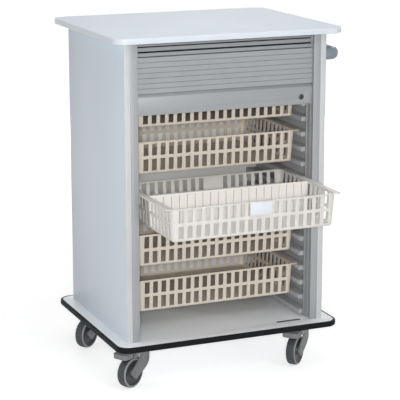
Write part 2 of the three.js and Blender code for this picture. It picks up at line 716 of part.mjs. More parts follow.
// The part of the curtain that is rolled away: up behind the slats, back under the top board
// and down behind the inner back, with a notch between each slat and the next.
function storedCurtain() {
  const bendTop = CURTAIN_MID_TOP - CURTAIN_BEND;
  const frontLow = SLATS_TOP - SHUTTER_DROP - CURTAIN_OVERLAP;
  const rise = bendTop - frontLow;
  const quarter = CURTAIN_BEND * Math.PI / 2;
  const run = CURTAIN_REAR_MID - CURTAIN_FRONT_MID - 2 * CURTAIN_BEND;
  const total = rise + quarter + run + quarter + CURTAIN_REAR_DROP;
  // Point at a distance along the middle line, pushed out from the bend's centre side
  const pointAt = (distance, push) => {
    let s = distance;
    if (s <= rise) return [CURTAIN_FRONT_MID - push, frontLow + s];
    s -= rise;
    if (s <= quarter) {
      const turn = s / CURTAIN_BEND;
      const radius = CURTAIN_BEND + push;
      return [CURTAIN_FRONT_MID + CURTAIN_BEND - radius * Math.cos(turn), bendTop + radius * Math.sin(turn)];
    }
    s -= quarter;
    if (s <= run) return [CURTAIN_FRONT_MID + CURTAIN_BEND + s, CURTAIN_MID_TOP + push];
    s -= run;
    if (s <= quarter) {
      const turn = s / CURTAIN_BEND;
      const radius = CURTAIN_BEND + push;
      return [CURTAIN_REAR_MID - CURTAIN_BEND + radius * Math.sin(turn), bendTop + radius * Math.cos(turn)];
    }
    s -= quarter;
    return [CURTAIN_REAR_MID + push, bendTop - s];
  };
  const half = CURTAIN_THICK / 2;
  const slatCount = Math.round(total / SLAT_PITCH);
  const pitch = total / slatCount;
  const outer = [];
  const inner = [];
  for (let number = 0; number < slatCount; number += 1) {
    const start = number * pitch;
    outer.push(pointAt(start, half - CURTAIN_NOTCH));
    outer.push(pointAt(start + SLAT_ROUND, half));
    outer.push(pointAt(start + pitch - SLAT_ROUND, half));
    inner.push(pointAt(start, -half));
  }
  outer.push(pointAt(total, half - CURTAIN_NOTCH));
  inner.push(pointAt(total, -half));
  const section = outline([...outer, ...inner.reverse()]);
  const halfLength = HALF_OPENING - SLIDE_GAP;
  return piece('stored_curtain', drawAlongX(section, -halfLength, halfLength), SLAT_GREY);
}

// Bow handle on the right side panel, standing on two feet
function pushHandle() {
  const height = TOP_LOW - HANDLE_DROP;
  const wallX = HALF_BODY + SEAT_GAP;
  const legX = wallX + FOOT_THICK + SEAT_GAP;
  const barX = HALF_BODY + HANDLE_STANDOFF - HANDLE_DEEP / 2;
  const frontY = HANDLE_END_INSET;
  const rearY = BODY_DEPTH - HANDLE_END_INSET;
  const stations = [[legX, frontY, Math.PI / 2]];
  for (let step = 0; step <= HANDLE_BEND_STEPS; step += 1) {
    const turn = (step / HANDLE_BEND_STEPS) * Math.PI / 2;
    const x = barX - HANDLE_BEND * (1 - Math.sin(turn));
    const y = frontY + HANDLE_BEND * (1 - Math.cos(turn));
    stations.push([x, y, Math.PI / 2 - turn]);
  }
  for (let step = 0; step <= HANDLE_BEND_STEPS; step += 1) {
    const turn = (step / HANDLE_BEND_STEPS) * Math.PI / 2;
    const x = barX - HANDLE_BEND * (1 - Math.cos(turn));
    const y = rearY - HANDLE_BEND * (1 - Math.sin(turn));
    stations.push([x, y, -turn]);
  }
  stations.push([legX, rearY, -Math.PI / 2]);
  // Each ring stands square to the bow; its heading is 90 degrees on the way out, 0 along the grip
  const rings = stations.map(([x, y, heading]) => {
    const ring = [];
    for (let i = 0; i < HANDLE_SIDES; i += 1) {
      const angle = (i / HANDLE_SIDES) * Math.PI * 2;
      const across = Math.cos(angle) * HANDLE_DEEP / 2;
      const up = Math.sin(angle) * HANDLE_TALL / 2;
      const ringX = x + across * Math.cos(heading);
      const ringY = y - across * Math.sin(heading);
      ring.push(new THREE.Vector3(ringX, ringY, height + up));
    }
    return ring;
  });
  const foot = (name, y) => {
    const plan = roundedRect(HANDLE_DEEP + 2 * FOOT_LIP, HANDLE_TALL + 2 * FOOT_LIP, FOOT_CORNER);
    const plate = drawAlongX(plan, wallX, wallX + FOOT_THICK).translate(0, y, height);
    return piece(name, plate, HANDLE_GREY);
  };
  return [
    piece('push_handle_bar', loft(rings), HANDLE_GREY),
    foot('handle_foot_front', frontY),
    foot('handle_foot_rear', rearY),
  ];
}

// Swivel caster. Local frame: swivel axis at X 0 and Y 0, wheel trailing along +X, floor at Z 0.
// Outline of a fork's side: the hood's cheek, and a strap that leans down past the axle to a rounded end
function forkSide() {
  const lean = THREE.MathUtils.degToRad(LEG_LEAN);
  const onStrap = (along, across) => [
    TRAIL + along * Math.cos(lean) + across * Math.sin(lean),
    WHEEL_RADIUS - along * Math.sin(lean) + across * Math.cos(lean),
  ];
  const skirtLow = HOOD_TOP - HOOD_SKIRT;
  const upperMeetsHood = (WHEEL_RADIUS + LEG_HALF * Math.cos(lean) - HOOD_LOW) / Math.sin(lean);
  const cornerStart = LEG_PAST_AXLE - LEG_CORNER;
  const cornerAcross = LEG_HALF - LEG_CORNER;
  const side = new THREE.Shape();
  side.moveTo(-HOOD_BACK, HOOD_TOP);
  side.lineTo(-HOOD_BACK, skirtLow);
  side.quadraticCurveTo(-HOOD_BACK, skirtLow - SKIRT_CURVE, ...onStrap(0, -LEG_HALF));
  side.absarc(...onStrap(cornerStart, -cornerAcross), LEG_CORNER, -Math.PI / 2 - lean, -lean);
  side.absarc(...onStrap(cornerStart, cornerAcross), LEG_CORNER, -lean, Math.PI / 2 - lean);
  side.lineTo(...onStrap(upperMeetsHood, LEG_HALF));
  side.lineTo(HOOD_FRONT, HOOD_LOW);
  side.lineTo(HOOD_FRONT, HOOD_TOP);
  side.closePath();
  return side;
}

function casterFork(braked) {
  const inner = WHEEL_WIDTH / 2 + LEG_GAP;
  const outer = inner + LEG_THICK;
  const side = forkSide();
  const legs = [drawAlongY(side, -outer, -inner), drawAlongY(side, inner, outer)];
  const hood = box(-HOOD_BACK, HOOD_FRONT, -outer, outer, HOOD_LOW, HOOD_TOP);
  const race = new THREE.CylinderGeometry(RACE_RADIUS, RACE_RADIUS, RACE_THICK, ROUND_SIDES);
  race.rotateX(Math.PI / 2);
  race.translate(0, 0, HOOD_TOP + RACE_THICK / 2 - SEAT_GAP);
  const through = outer + CUT_OVER;
  const axleHole = rodAlongY(AXLE_RADIUS + SEAT_GAP, TRAIL, WHEEL_RADIUS, -through, through, PIN_SIDES);
  const cuts = [axleHole];
  if (braked) {
    const barrel = PEDAL_BARREL + SEAT_GAP;
    cuts.push(rodAlongY(barrel, HOOD_FRONT, HOOD_LOW + HOOD_THICK / 2, -through, through, ROUND_SIDES));
  }
  return cut(join(hood, ...legs, race), ...cuts);
}

function casterPedal() {
  const middle = HOOD_LOW + HOOD_THICK / 2;
  const halfBarrel = WHEEL_WIDTH / 2 + LEG_GAP;
  const barrel = rodAlongY(PEDAL_BARREL, HOOD_FRONT, middle, -halfBarrel, halfBarrel, ROUND_SIDES);
  const half = PEDAL_WIDTH / 2;
  const end = HOOD_FRONT + PEDAL_REACH;
  const shoulder = HOOD_FRONT + PEDAL_CORNER;
  const plan = new THREE.Shape();
  plan.moveTo(HOOD_FRONT, -halfBarrel);
  plan.lineTo(shoulder, -half);
  plan.absarc(end - PEDAL_CORNER, -half + PEDAL_CORNER, PEDAL_CORNER, -Math.PI / 2, 0);
  plan.absarc(end - PEDAL_CORNER, half - PEDAL_CORNER, PEDAL_CORNER, 0, Math.PI / 2);
  plan.lineTo(shoulder, half);
  plan.lineTo(HOOD_FRONT, halfBarrel);
  plan.closePath();
  return join(barrel, raise(plan, middle - PEDAL_THICK / 2, middle + PEDAL_THICK / 2, CORNER_STEPS));
}

function casterWheel() {
  const half = WHEEL_WIDTH / 2;
  const rim = WHEEL_RADIUS - TYRE_THICK;
  const bore = AXLE_RADIUS + SEAT_GAP;
  const flat = 1 / Math.cos(Math.PI / TYRE_SEGMENTS);
  const tread = WHEEL_RADIUS * flat;
  const shoulder = (WHEEL_RADIUS - TREAD_CROWN) * flat;
  const wall = (WHEEL_RADIUS - TYRE_THICK / 2) * flat;
  const seat = (rim + SEAT_GAP) * flat;
  const rimHalf = half - CORE_RIM_INSET;
  const web = half - CORE_WEB_INSET;
  const hubHalf = half - HUB_INSET;
  const hubFoot = HUB_RADIUS + HUB_FLARE;
  const core = turnRoundY(
    [
      [bore, -hubHalf],
      [HUB_RADIUS, -hubHalf],
      [hubFoot, -web],
      [rim, -rimHalf],
      [rim, rimHalf],
      [hubFoot, web],
      [HUB_RADIUS, hubHalf],
      [bore, hubHalf],
    ],
    CORE_SEGMENTS,
  );
  const tyre = turnRoundY(
    [
      [seat, -rimHalf],
      [wall, -half],
      [shoulder, TREAD_ROUND - half],
      [tread, -half / 3],
      [tread, half / 3],
      [shoulder, half - TREAD_ROUND],
      [wall, half],
      [seat, rimHalf],
    ],
    TYRE_SEGMENTS,
    Math.PI / TYRE_SEGMENTS,
  );
  return { core: core.translate(TRAIL, 0, WHEEL_RADIUS), tyre: tyre.translate(TRAIL, 0, WHEEL_RADIUS) };
}

function caster(place, x, y, braked) {
  const name = `caster_${place}`;
  const legOuter = WHEEL_WIDTH / 2 + LEG_GAP + LEG_THICK;
  const axleHalf = legOuter + AXLE_HEAD;
  const axle = rodAlongY(AXLE_RADIUS, TRAIL, WHEEL_RADIUS, -axleHalf, axleHalf, PIN_SIDES);
  const wheel = casterWheel();
  const turning = new THREE.Group();
  turning.position.set(x, y, 0);
  turning.rotation.z = THREE.MathUtils.degToRad(CASTER_TRAIL_ANGLES[place]);
  turning.add(
    piece(`${name}_fork`, casterFork(braked), FORK_GREY),
    piece(`${name}_axle`, axle, STEEL),
    piece(`${name}_wheel_core`, wheel.core, CORE_GREY),
    piece(`${name}_tyre`, wheel.tyre, TYRE_GREY),
  );
  if (braked) turning.add(piece(`${name}_pedal`, casterPedal(), FORK_GREY));
  const plan = roundedRect(PLATE_LENGTH, PLATE_WIDTH, PLATE_CORNER);
  const plate = raise(plan, PLATE_LOW, BASE_LOW - SEAT_GAP, CORNER_STEPS).translate(x, y, 0);
  return [turning, piece(`${name}_plate`, plate, STEEL)];
}

function casters() {
  const x = FOOT_WIDTH / 2 - CASTER_INSET_X;
  const frontY = CASTER_INSET_Y - OVERHANG_FRONT;
  const rearY = BODY_DEPTH + OVERHANG_BACK - CASTER_INSET_Y;
  return [
    ...caster('front_left', -x, frontY, true),
    ...caster('front_right', x, frontY, true),
    ...caster('rear_left', -x, rearY, false),
    ...caster('rear_right', x, rearY, false),
  ];
}

const cart = new THREE.Group();
cart.position.set(-(BOX_LEFT + BOX_RIGHT) / 2, -(BOX_FRONT + BOX_BACK) / 2, 0);
cart.add(
  ...casters(),
  baseBoard(),
  bumper(),
  ...uprights(),
  shutterGuide('left_shutter_guide', -1),
  shutterGuide('right_shutter_guide', 1),
  runnerLadder('left_runner_ladder', -1),
  runnerLadder('right_runner_ladder', 1),
  ...baskets(),
  storedCurtain(),
  ...shutterSlats(),
  leadBar(),
  ...lock(),
  ...topBoard(),
  ...pushHandle(),
);

export default cart;
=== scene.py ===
"""Looks of a mobile clinic cart: coated boards on four casters, lattice baskets, a slatted roller shutter.

Metres, +Z up, +X to the right of someone who faces the open front, +Y towards the back.
"""

import json
import math

import bmesh
import bpy
from mathutils import Matrix, Vector

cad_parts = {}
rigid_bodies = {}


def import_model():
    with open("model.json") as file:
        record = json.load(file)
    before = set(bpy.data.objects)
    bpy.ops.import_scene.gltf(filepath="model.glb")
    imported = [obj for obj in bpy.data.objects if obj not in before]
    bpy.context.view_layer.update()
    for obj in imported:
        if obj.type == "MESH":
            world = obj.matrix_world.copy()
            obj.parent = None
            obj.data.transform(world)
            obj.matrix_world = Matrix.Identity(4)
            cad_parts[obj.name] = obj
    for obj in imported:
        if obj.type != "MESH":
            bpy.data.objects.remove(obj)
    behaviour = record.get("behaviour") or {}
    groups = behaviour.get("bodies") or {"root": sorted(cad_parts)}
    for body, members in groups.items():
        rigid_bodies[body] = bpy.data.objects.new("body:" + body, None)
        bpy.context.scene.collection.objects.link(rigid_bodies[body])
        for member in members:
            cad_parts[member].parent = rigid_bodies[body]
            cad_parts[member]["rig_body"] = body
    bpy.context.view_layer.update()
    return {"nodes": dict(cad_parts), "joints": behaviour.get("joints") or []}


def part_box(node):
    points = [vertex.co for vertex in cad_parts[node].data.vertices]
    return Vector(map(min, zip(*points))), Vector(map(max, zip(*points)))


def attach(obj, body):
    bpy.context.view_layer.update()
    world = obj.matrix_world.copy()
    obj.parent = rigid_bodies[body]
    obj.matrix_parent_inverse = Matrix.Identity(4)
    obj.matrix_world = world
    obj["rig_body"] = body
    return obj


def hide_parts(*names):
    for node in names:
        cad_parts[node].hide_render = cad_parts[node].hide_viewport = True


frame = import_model()


# Caster top plates
# Zinc-plated steel, stamped flat with rounded corners. Four hexagon bolts hold each one up against
# the base board, clear of the fork that turns under it.
PLACES = ("front_left", "front_right", "rear_left", "rear_right")
PLATE_EDGE = 0.0008
BOLT_RADIUS = 0.00725
BOLT_FACE_RADIUS = 0.0065
BOLT_HEAD = 0.0030
BOLT_INSET = 0.0115
ZINC = (0.50, 0.51, 0.53)
ZINC_SHADE = (0.36, 0.37, 0.39)
NOISE_LOW = 0.3
NOISE_HIGH = 0.7
WELD = 0.000002
FLAT_WITHIN = 1.0


def start_finish(name, constants):
    """A new material with its shader's constants, and the coordinates of the piece itself."""
    material = bpy.data.materials.new(name)
    material.use_nodes = True
    tree = material.node_tree
    shader = tree.nodes["Principled BSDF"]
    for socket, value in constants.items():
        shader.inputs[socket].default_value = value
    return material, tree, shader, tree.nodes.new("ShaderNodeTexCoord").outputs["Object"]


def add_node(tree, kind, inputs=None, **settings):
    """The outputs of a new node; each input gets a value or the output of another node."""
    node = tree.nodes.new(kind)
    for name, value in settings.items():
        setattr(node, name, value)
    for socket, value in (inputs or {}).items():
        if isinstance(value, bpy.types.NodeSocket):
            tree.links.new(value, node.inputs[socket])
        else:
            node.inputs[socket].default_value = value
    return node.outputs


def grain(tree, place, scale, detail=3.0, stretch=(1.0, 1.0, 1.0)):
    """A noise whose grains are about one metre divided by the scale."""
    mapped = add_node(tree, "ShaderNodeMapping", {"Vector": place, "Scale": stretch})["Vector"]
    noise = {"Vector": mapped, "Scale": scale, "Detail": detail}
    return add_node(tree, "ShaderNodeTexNoise", noise)["Fac"]


def spread(tree, factor, low, high):
    """Stretches the middle of a noise over the range from low to high."""
    reach = {"Value": factor, "From Min": NOISE_LOW, "From Max": NOISE_HIGH, "To Min": low, "To Max": high}
    return add_node(tree, "ShaderNodeMapRange", reach)["Result"]


def finish(name, constants, tones, gloss, bumps):
    """A material whose colour and roughness each drift between two values, with small bumps on it.
    Each of the three ends with its noise: scale, detail, stretch."""
    material, tree, shader, place = start_finish(name, constants)
    shade, light, clouds = tones
    drift = spread(tree, grain(tree, place, *clouds), 0.0, 1.0)
    ends = {"Factor": drift, "A": (*shade, 1.0), "B": (*light, 1.0)}
    colour = add_node(tree, "ShaderNodeMix", ends, data_type="RGBA")["Result"]
    smooth, rough, patches = gloss
    roughness = spread(tree, grain(tree, place, *patches), smooth, rough)
    height, skin = bumps
    relief = {"Strength": 1.0, "Distance": height, "Height": grain(tree, place, *skin)}
    tree.links.new(colour, shader.inputs["Base Color"])
    tree.links.new(roughness, shader.inputs["Roughness"])
    tree.links.new(add_node(tree, "ShaderNodeBump", relief)["Normal"], shader.inputs["Normal"])
    return material


def zinc_plating(name, shade, light, metallic):
    """Dull silvery plating, cloudy with a fine brushed grain."""
    clouds = (60.0, 4.0)
    return finish(
        name,
        {"Metallic": metallic},
        tones=(shade, light, clouds),
        gloss=(0.32, 0.48, clouds),
        bumps=(0.00003, (900.0,)),
    )


def settle(piece, smooth_below=35.0):
    """Turns the modifiers' result into the piece's plain mesh, smooth except at real edges."""
    graph = bpy.context.evaluated_depsgraph_get()
    mesh = bpy.data.meshes.new_from_object(piece.evaluated_get(graph))
    piece.modifiers.clear()
    piece.data = mesh
    mesh.name = piece.name
    mesh.shade_smooth()
    mesh.set_sharp_from_angle(angle=math.radians(smooth_below))
    return piece


def soften(piece, width, segments=2, sharper_than=35.0):
    """Rounds every edge that is sharper than the given angle."""
    bevel = piece.modifiers.new("edge", "BEVEL")
    bevel.width = width
    bevel.segments = segments
    bevel.limit_method = "ANGLE"
    bevel.angle_limit = math.radians(sharper_than)
    return settle(piece)


def show(name, shape, *materials):
    """Puts a finished bmesh in the scene as a piece of its own."""
    mesh = bpy.data.meshes.new(name)
    shape.to_mesh(mesh)
    shape.free()
    for material in materials:
        mesh.materials.append(material)
    piece = bpy.data.objects.new(name, mesh)
    bpy.context.scene.collection.objects.link(piece)
    return piece


def stands_for(piece, slot, *nodes):
    """The piece takes the place of CAD nodes of one body and rides on that body."""
    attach(piece, frame["nodes"][nodes[0]]["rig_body"])
    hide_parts(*nodes)
    return piece


def softened(node, slot, width, material, segments=2):
    """The node's own shape with rounded edges, in a new piece that takes its place."""
    source = frame["nodes"][node].data
    shape = bmesh.new()
    points = [shape.verts.new(vertex.co) for vertex in source.vertices]
    for polygon in source.polygons:
        shape.faces.new([points[index] for index in polygon.vertices])
    bmesh.ops.remove_doubles(shape, verts=shape.verts, dist=WELD)
    flat = math.radians(FLAT_WITHIN)
    bmesh.ops.dissolve_limit(shape, angle_limit=flat, verts=shape.verts, edges=shape.edges)
    piece = soften(show(f"{node}_body", shape, material), width, segments)
    return stands_for(piece, slot, node)


def finish_faces(piece, material, chosen):
    """Gives the faces that the test picks a finish of their own."""
    mesh = piece.data
    mesh.materials.append(material)
    for polygon in mesh.polygons:
        if chosen(polygon):
            polygon.material_index = len(mesh.materials) - 1


def start_tree(name, inputs):
    """A Geometry Nodes tree with named inputs, the last of them for the finish."""
    tree = bpy.data.node_groups.new(name, "GeometryNodeTree")
    sockets = {}
    for socket_name, kind in {**inputs, "Finish": "Material"}.items():
        socket = tree.interface.new_socket(socket_name, in_out="INPUT", socket_type=f"NodeSocket{kind}")
        sockets[socket_name] = socket.identifier
    tree.interface.new_socket("Pieces", in_out="OUTPUT", socket_type="NodeSocketGeometry")
    return tree, sockets, add_node(tree, "NodeGroupInput")


def end_tree(tree, sockets, given, pieces):
    """Makes the copies real, gives them their finish and hands them out."""
    real = add_node(tree, "GeometryNodeRealizeInstances", {"Geometry": pieces})
    painted = {"Geometry": real["Geometry"], "Material": given["Finish"]}
    result = add_node(tree, "GeometryNodeSetMaterial", painted)
    add_node(tree, "NodeGroupOutput", {"Pieces": result["Geometry"]})
    return tree, sockets


def corner_tree():
    """Geometry Nodes: one copy of a unit at each corner of a rectangle."""
    inputs = {"Unit": "Geometry", "Span X": "Float", "Span Y": "Float"}
    tree, sockets, given = start_tree("unit_at_four_corners", inputs)
    grid = {"Size X": given["Span X"], "Size Y": given["Span Y"], "Vertices X": 2, "Vertices Y": 2}
    corners = add_node(tree, "GeometryNodeMeshGrid", grid)
    copy = {"Points": corners["Mesh"], "Instance": given["Unit"]}
    copies = add_node(tree, "GeometryNodeInstanceOnPoints", copy)
    return end_tree(tree, sockets, given, copies["Instances"])


def by_nodes(piece, tree_and_sockets, **values):
    """Runs a Geometry Nodes tree on a piece; underscores in the names stand for spaces."""
    tree, sockets = tree_and_sockets
    modifier = piece.modifiers.new(tree.name, "NODES")
    modifier.node_group = tree
    for name, value in values.items():
        modifier[sockets[name.replace("_", " ")]] = value
    return settle(piece)


def bolt_head():
    """A hexagon head, its top on the plane Z 0 and its chamfered face below."""
    shape = bmesh.new()
    bmesh.ops.create_cone(
        shape,
        cap_ends=True,
        segments=6,
        radius1=BOLT_FACE_RADIUS,
        radius2=BOLT_RADIUS,
        depth=BOLT_HEAD,
        matrix=Matrix.Translation((0.0, 0.0, -BOLT_HEAD / 2)),
    )
    return shape


zinc = zinc_plating("zinc_plating", ZINC_SHADE, ZINC, 0.9)
four_corners = corner_tree()
for place in PLACES:
    plate_low, plate_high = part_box(f"caster_{place}_plate")
    softened(f"caster_{place}_plate", "zinc_steel", PLATE_EDGE, zinc)
    bolts = by_nodes(
        show(f"caster_{place}_bolts", bolt_head(), zinc),
        four_corners,
        Span_X=plate_high.x - plate_low.x - 2 * BOLT_INSET,
        Span_Y=plate_high.y - plate_low.y - 2 * BOLT_INSET,
        Finish=zinc,
    )
    plate_middle = (plate_low + plate_high) / 2
    bolts.data.transform(Matrix.Translation((plate_middle.x, plate_middle.y, plate_low.z)))
    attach(bolts, "cabinet")


# Caster forks and brake pedals
# Mid-grey glass-filled nylon, moulded in one piece each, with a fine matt skin. A bright rivet goes
# through both legs of a braked fork, where its lever turns.
FORK_EDGE = 0.0028
PEDAL_EDGE = 0.0042
NYLON = (0.215, 0.220, 0.225)
NYLON_SHADE = (0.170, 0.175, 0.180)
RIVET_RADIUS = 0.0042
RIVET_DOME = 0.0022
RIVET_ROUND = ((0.0, 1.0), (0.6, 0.8), (1.0, 0.2), (1.0, 0.0))
RIVET_FROM_SWIVEL = 0.027
RIVET_HEIGHT = 0.1085
FORK_HALF = 0.023
MILKY_DEPTH = 0.008
joints = {joint["name"]: joint for joint in frame["joints"]}


def moulded_plastic(name, shade, light, rough, texture=0.00004, milky=0.0):
    """Moulded plastic: nearly even colour, a spark-eroded skin and a slightly uneven gloss.
    Milky plastic lets light spread inside its wall."""
    inside = {
        "Subsurface Weight": milky,
        "Subsurface Radius": (1.0, 1.0, 1.0),
        "Subsurface Scale": MILKY_DEPTH,
    }
    return finish(
        name,
        inside,
        tones=(shade, light, (14.0, 2.0)),
        gloss=(rough - 0.05, rough + 0.06, (45.0,)),
        bumps=(texture, (1400.0, 2.0)),
    )


def turned(name, profile, spot, *materials, picks=(), segments=72):
    """A piece turned round its Y axis from a profile of (radius, along) pairs, then set at a spot.
    A profile that starts on the axis is closed by it; any other is a closed ring."""
    shape = bmesh.new()
    rings = []
    for step in range(segments):
        turn = 2 * math.pi * step / segments
        ring = [Vector((r * math.cos(turn), along, r * math.sin(turn))) for r, along in profile]
        rings.append([shape.verts.new(spot @ point) for point in ring])
    strips = len(profile) if profile[0][0] > 0 else len(profile) - 1
    for step in range(segments):
        one, two = rings[step], rings[(step + 1) % segments]
        for low in range(strips):
            high = (low + 1) % len(profile)
            face = shape.faces.new((one[low], two[low], two[high], one[high]))
            face.material_index = picks[low] if picks else 0
    bmesh.ops.remove_doubles(shape, verts=shape.verts, dist=WELD)
    bmesh.ops.recalc_face_normals(shape, faces=shape.faces)
    return settle(show(name, shape, *materials))


def mirrored(profile):
    """The profile from its -Y end to the middle, and back again on the +Y side."""
    return [*profile, *[(r, -along) for r, along in reversed(profile)]]


def caster_spot(place, along, height):
    """The frame of a caster turned to its heading, at a distance from its swivel axis."""
    swivel = Vector(joints[f"{place}_swivel"]["pos_m"])
    hub = Vector(joints[f"{place}_roll"]["pos_m"])
    heading = math.atan2(hub.y - swivel.y, hub.x - swivel.x)
    turn = Matrix.Rotation(heading, 4, "Z")
    return Matrix.Translation((swivel.x, swivel.y, height)) @ turn @ Matrix.Translation((along, 0, 0))


nylon = moulded_plastic("grey_nylon", NYLON_SHADE, NYLON, 0.48)
rivet_profile = mirrored(
    [(RIVET_RADIUS * out, -FORK_HALF - RIVET_DOME * proud) for out, proud in RIVET_ROUND]
)
for place in PLACES:
    softened(f"caster_{place}_fork", "fork", FORK_EDGE, nylon, 3)
    if f"caster_{place}_pedal" in frame["nodes"]:
        softened(f"caster_{place}_pedal", "fork", PEDAL_EDGE, nylon, 4)
        rivet_spot = caster_spot(place, RIVET_FROM_SWIVEL, RIVET_HEIGHT)
        rivet = turned(f"caster_{place}_rivet", rivet_profile, rivet_spot, zinc, segments=24)
        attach(rivet, f"{place}_fork")


# Caster wheels
# A dark nylon disc with a slate-grey soft tread moulded round it; the tread's side walls are paler
# where they are rubbed bright. A dull plated axle with flat heads holds the wheel in the fork.
WHEEL_HALF = 0.016
SEAT_RADIUS = 0.0385
HUB_RADIUS = 0.014
AXLE_RADIUS = 0.005
AXLE_CLEARANCE = 0.0003
AXLE_HEAD_RADIUS = 0.0085
AXLE_HEAD = 0.0017
AXLE_HEAD_ROUND = ((0.0, 0.0), (0.55, 0.0002), (0.9, 0.0008), (1.0, 0.0015))
AXLE_NECK = 0.0001
TYRE_FOOT = ((0.0, 0.0045), (0.0012, 0.0012), (0.0035, 0.0))
TYRE_SHOULDER = ((0.0062, 0.0), (0.0040, 0.0006), (0.0018, 0.0024), (0.0007, 0.0052))
SIDE_WALL_STRIPS = range(2, 5)
HUB_FACE = ((-0.0012, 0.0010), (0.0, 0.0022), (0.0014, 0.0062), (0.0040, 0.0072))
DISC_RISE = ((0.0070, 0.0066), (0.0045, 0.0050), (0.0030, 0.0034), (0.0003, 0.0032))
TREAD = (0.052, 0.060, 0.066)
TREAD_SHADE = (0.034, 0.040, 0.045)
SIDE_WALL = (0.300, 0.306, 0.310)
SIDE_WALL_SHADE = (0.235, 0.241, 0.245)
DULL_ZINC = (0.200, 0.205, 0.210)
DULL_ZINC_SHADE = (0.160, 0.165, 0.170)
DISC = (0.062, 0.064, 0.067)
DISC_SHADE = (0.044, 0.046, 0.048)


def soft_tread(name, shade, light, rough, shine=0.5):
    """Slightly dusty soft rubber with a fine matt skin."""
    return finish(
        name,
        {"Specular IOR Level": shine},
        tones=(shade, light, (70.0, 5.0)),
        gloss=(rough - 0.08, rough + 0.08, (25.0,)),
        bumps=(0.00006, (700.0,)),
    )


tread = soft_tread("slate_tread", TREAD_SHADE, TREAD, 0.62)
side_wall = soft_tread("pale_side_wall", SIDE_WALL_SHADE, SIDE_WALL, 0.55)
# The same dark nylon also paints the shade in the base board's lock slot.
dark_nylon_and_slot_shade = moulded_plastic("dark_nylon_disc", DISC_SHADE, DISC, 0.46)
axle_zinc = zinc_plating("dull_axle_zinc", DULL_ZINC_SHADE, DULL_ZINC, 0.2)
for place in PLACES:
    hub = Vector(joints[f"{place}_roll"]["pos_m"])
    swivel = Vector(joints[f"{place}_swivel"]["pos_m"])
    trail = math.hypot(hub.x - swivel.x, hub.y - swivel.y)
    wheel_spot = caster_spot(place, trail, hub.z)
    wheel_radius = hub.z
    side_y = -WHEEL_HALF
    foot = [(SEAT_RADIUS + out, side_y + inside) for out, inside in TYRE_FOOT]
    shoulder = [(wheel_radius - down, side_y + inside) for down, inside in TYRE_SHOULDER]
    tyre_profile = mirrored([*foot, *shoulder, (wheel_radius, side_y / 3)])
    last_strip = len(tyre_profile) - 2
    wall_picks = [
        int(strip in SIDE_WALL_STRIPS or last_strip - strip in SIDE_WALL_STRIPS)
        for strip in range(len(tyre_profile))
    ]
    tyre = turned(f"caster_{place}_tread", tyre_profile, wheel_spot, tread, side_wall, picks=wall_picks)
    stands_for(tyre, "tyre", f"caster_{place}_tyre")
    bore = [(AXLE_RADIUS + AXLE_CLEARANCE, side_y + HUB_FACE[0][1])]
    hub_face = [(HUB_RADIUS + out, side_y + inside) for out, inside in HUB_FACE]
    disc_rise = [(SEAT_RADIUS - short, side_y + inside) for short, inside in DISC_RISE]
    disc_profile = mirrored([*bore, *hub_face, *disc_rise])
    disc = turned(f"caster_{place}_disc", disc_profile, wheel_spot, dark_nylon_and_slot_shade)
    stands_for(disc, "wheel_core", f"caster_{place}_wheel_core")
    head_y = -FORK_HALF - AXLE_HEAD
    head = [(AXLE_HEAD_RADIUS * out, head_y + inside) for out, inside in AXLE_HEAD_ROUND]
    axle_profile = mirrored([*head, (AXLE_RADIUS, -FORK_HALF - AXLE_NECK)])
    axle = turned(f"caster_{place}_pin", axle_profile, wheel_spot, axle_zinc, segments=32)
    stands_for(axle, "zinc_steel", f"caster_{place}_axle")


# Base board and its bumper
# A chipboard slab with a smooth pale blue-white coating and a slot for the lock bolt; its walls and the
# black nylon liner in it are painted shade. A black rubber profile is pressed on all round its edge.
BOARD_EDGE = 0.0006
# The base and back panel's coating is a lighter copy of the top's, painted light for the cabinet's inside.
LIT_BOARD_LIGHT = (0.885, 0.915, 0.945)
LIT_BOARD_SHADE = (0.870, 0.900, 0.930)
STRIKE_WIDTH = 0.082
STRIKE_DEPTH = 0.006
STRIKE_SLACK = 0.0005
# The liner's black is painted shade inside the lock slot.
SHADE_LINER_FLANGE = 0.003
SHADE_LINER_PROUD = 0.0005
SHADE_LINER_SINK = 0.008
BUMPER_RUN = 0.008
BUMPER_SWELL = 0.0016
BUMPER_ROUND = ((1.6, 0.0), (0.7, 0.06), (0.15, 0.18), (0.0, 0.34))
FOOT_CORNER = 0.045
FOOT_CORNER_STEPS = 14
BLACK_RUBBER = (0.0080, 0.0088, 0.0105)
BLACK_RUBBER_SHADE = (0.0055, 0.0060, 0.0072)


def coated_board(name, shade, light, rough=0.36):
    """Coated chipboard: an even tone with faint clouds and a fine orange-peel skin."""
    return finish(
        name,
        {"Specular IOR Level": 0.3},
        tones=(shade, light, (3.5, 4.0)),
        gloss=(rough - 0.02, rough + 0.03, (9.0, 4.0)),
        bumps=(0.00005, (420.0, 2.0)),
    )


def quarter_turn(steps, start=0.0):
    """The angles of a quarter turn in even steps, from a start in degrees."""
    return [math.radians(start + 90 * step / steps) for step in range(steps + 1)]


def arc(x, y, radius, start, steps):
    """Points of a quarter circle round a middle, anticlockwise from a start in degrees."""
    turns = quarter_turn(steps, start)
    return [(x + radius * math.cos(turn), y + radius * math.sin(turn)) for turn in turns]


def round_corner_path(low, high, corner, inset=0.0, steps=FOOT_CORNER_STEPS):
    """Points round a rectangle with rounded corners, anticlockwise from above."""
    near_x, far_x = low.x + corner, high.x - corner
    near_y, far_y = low.y + corner, high.y - corner
    middles = ((far_x, near_y), (far_x, far_y), (near_x, far_y), (near_x, near_y))
    path = []
    for number, (x, y) in enumerate(middles):
        path.extend(arc(x, y, corner - inset, 90 * (number - 1), steps))
    return path


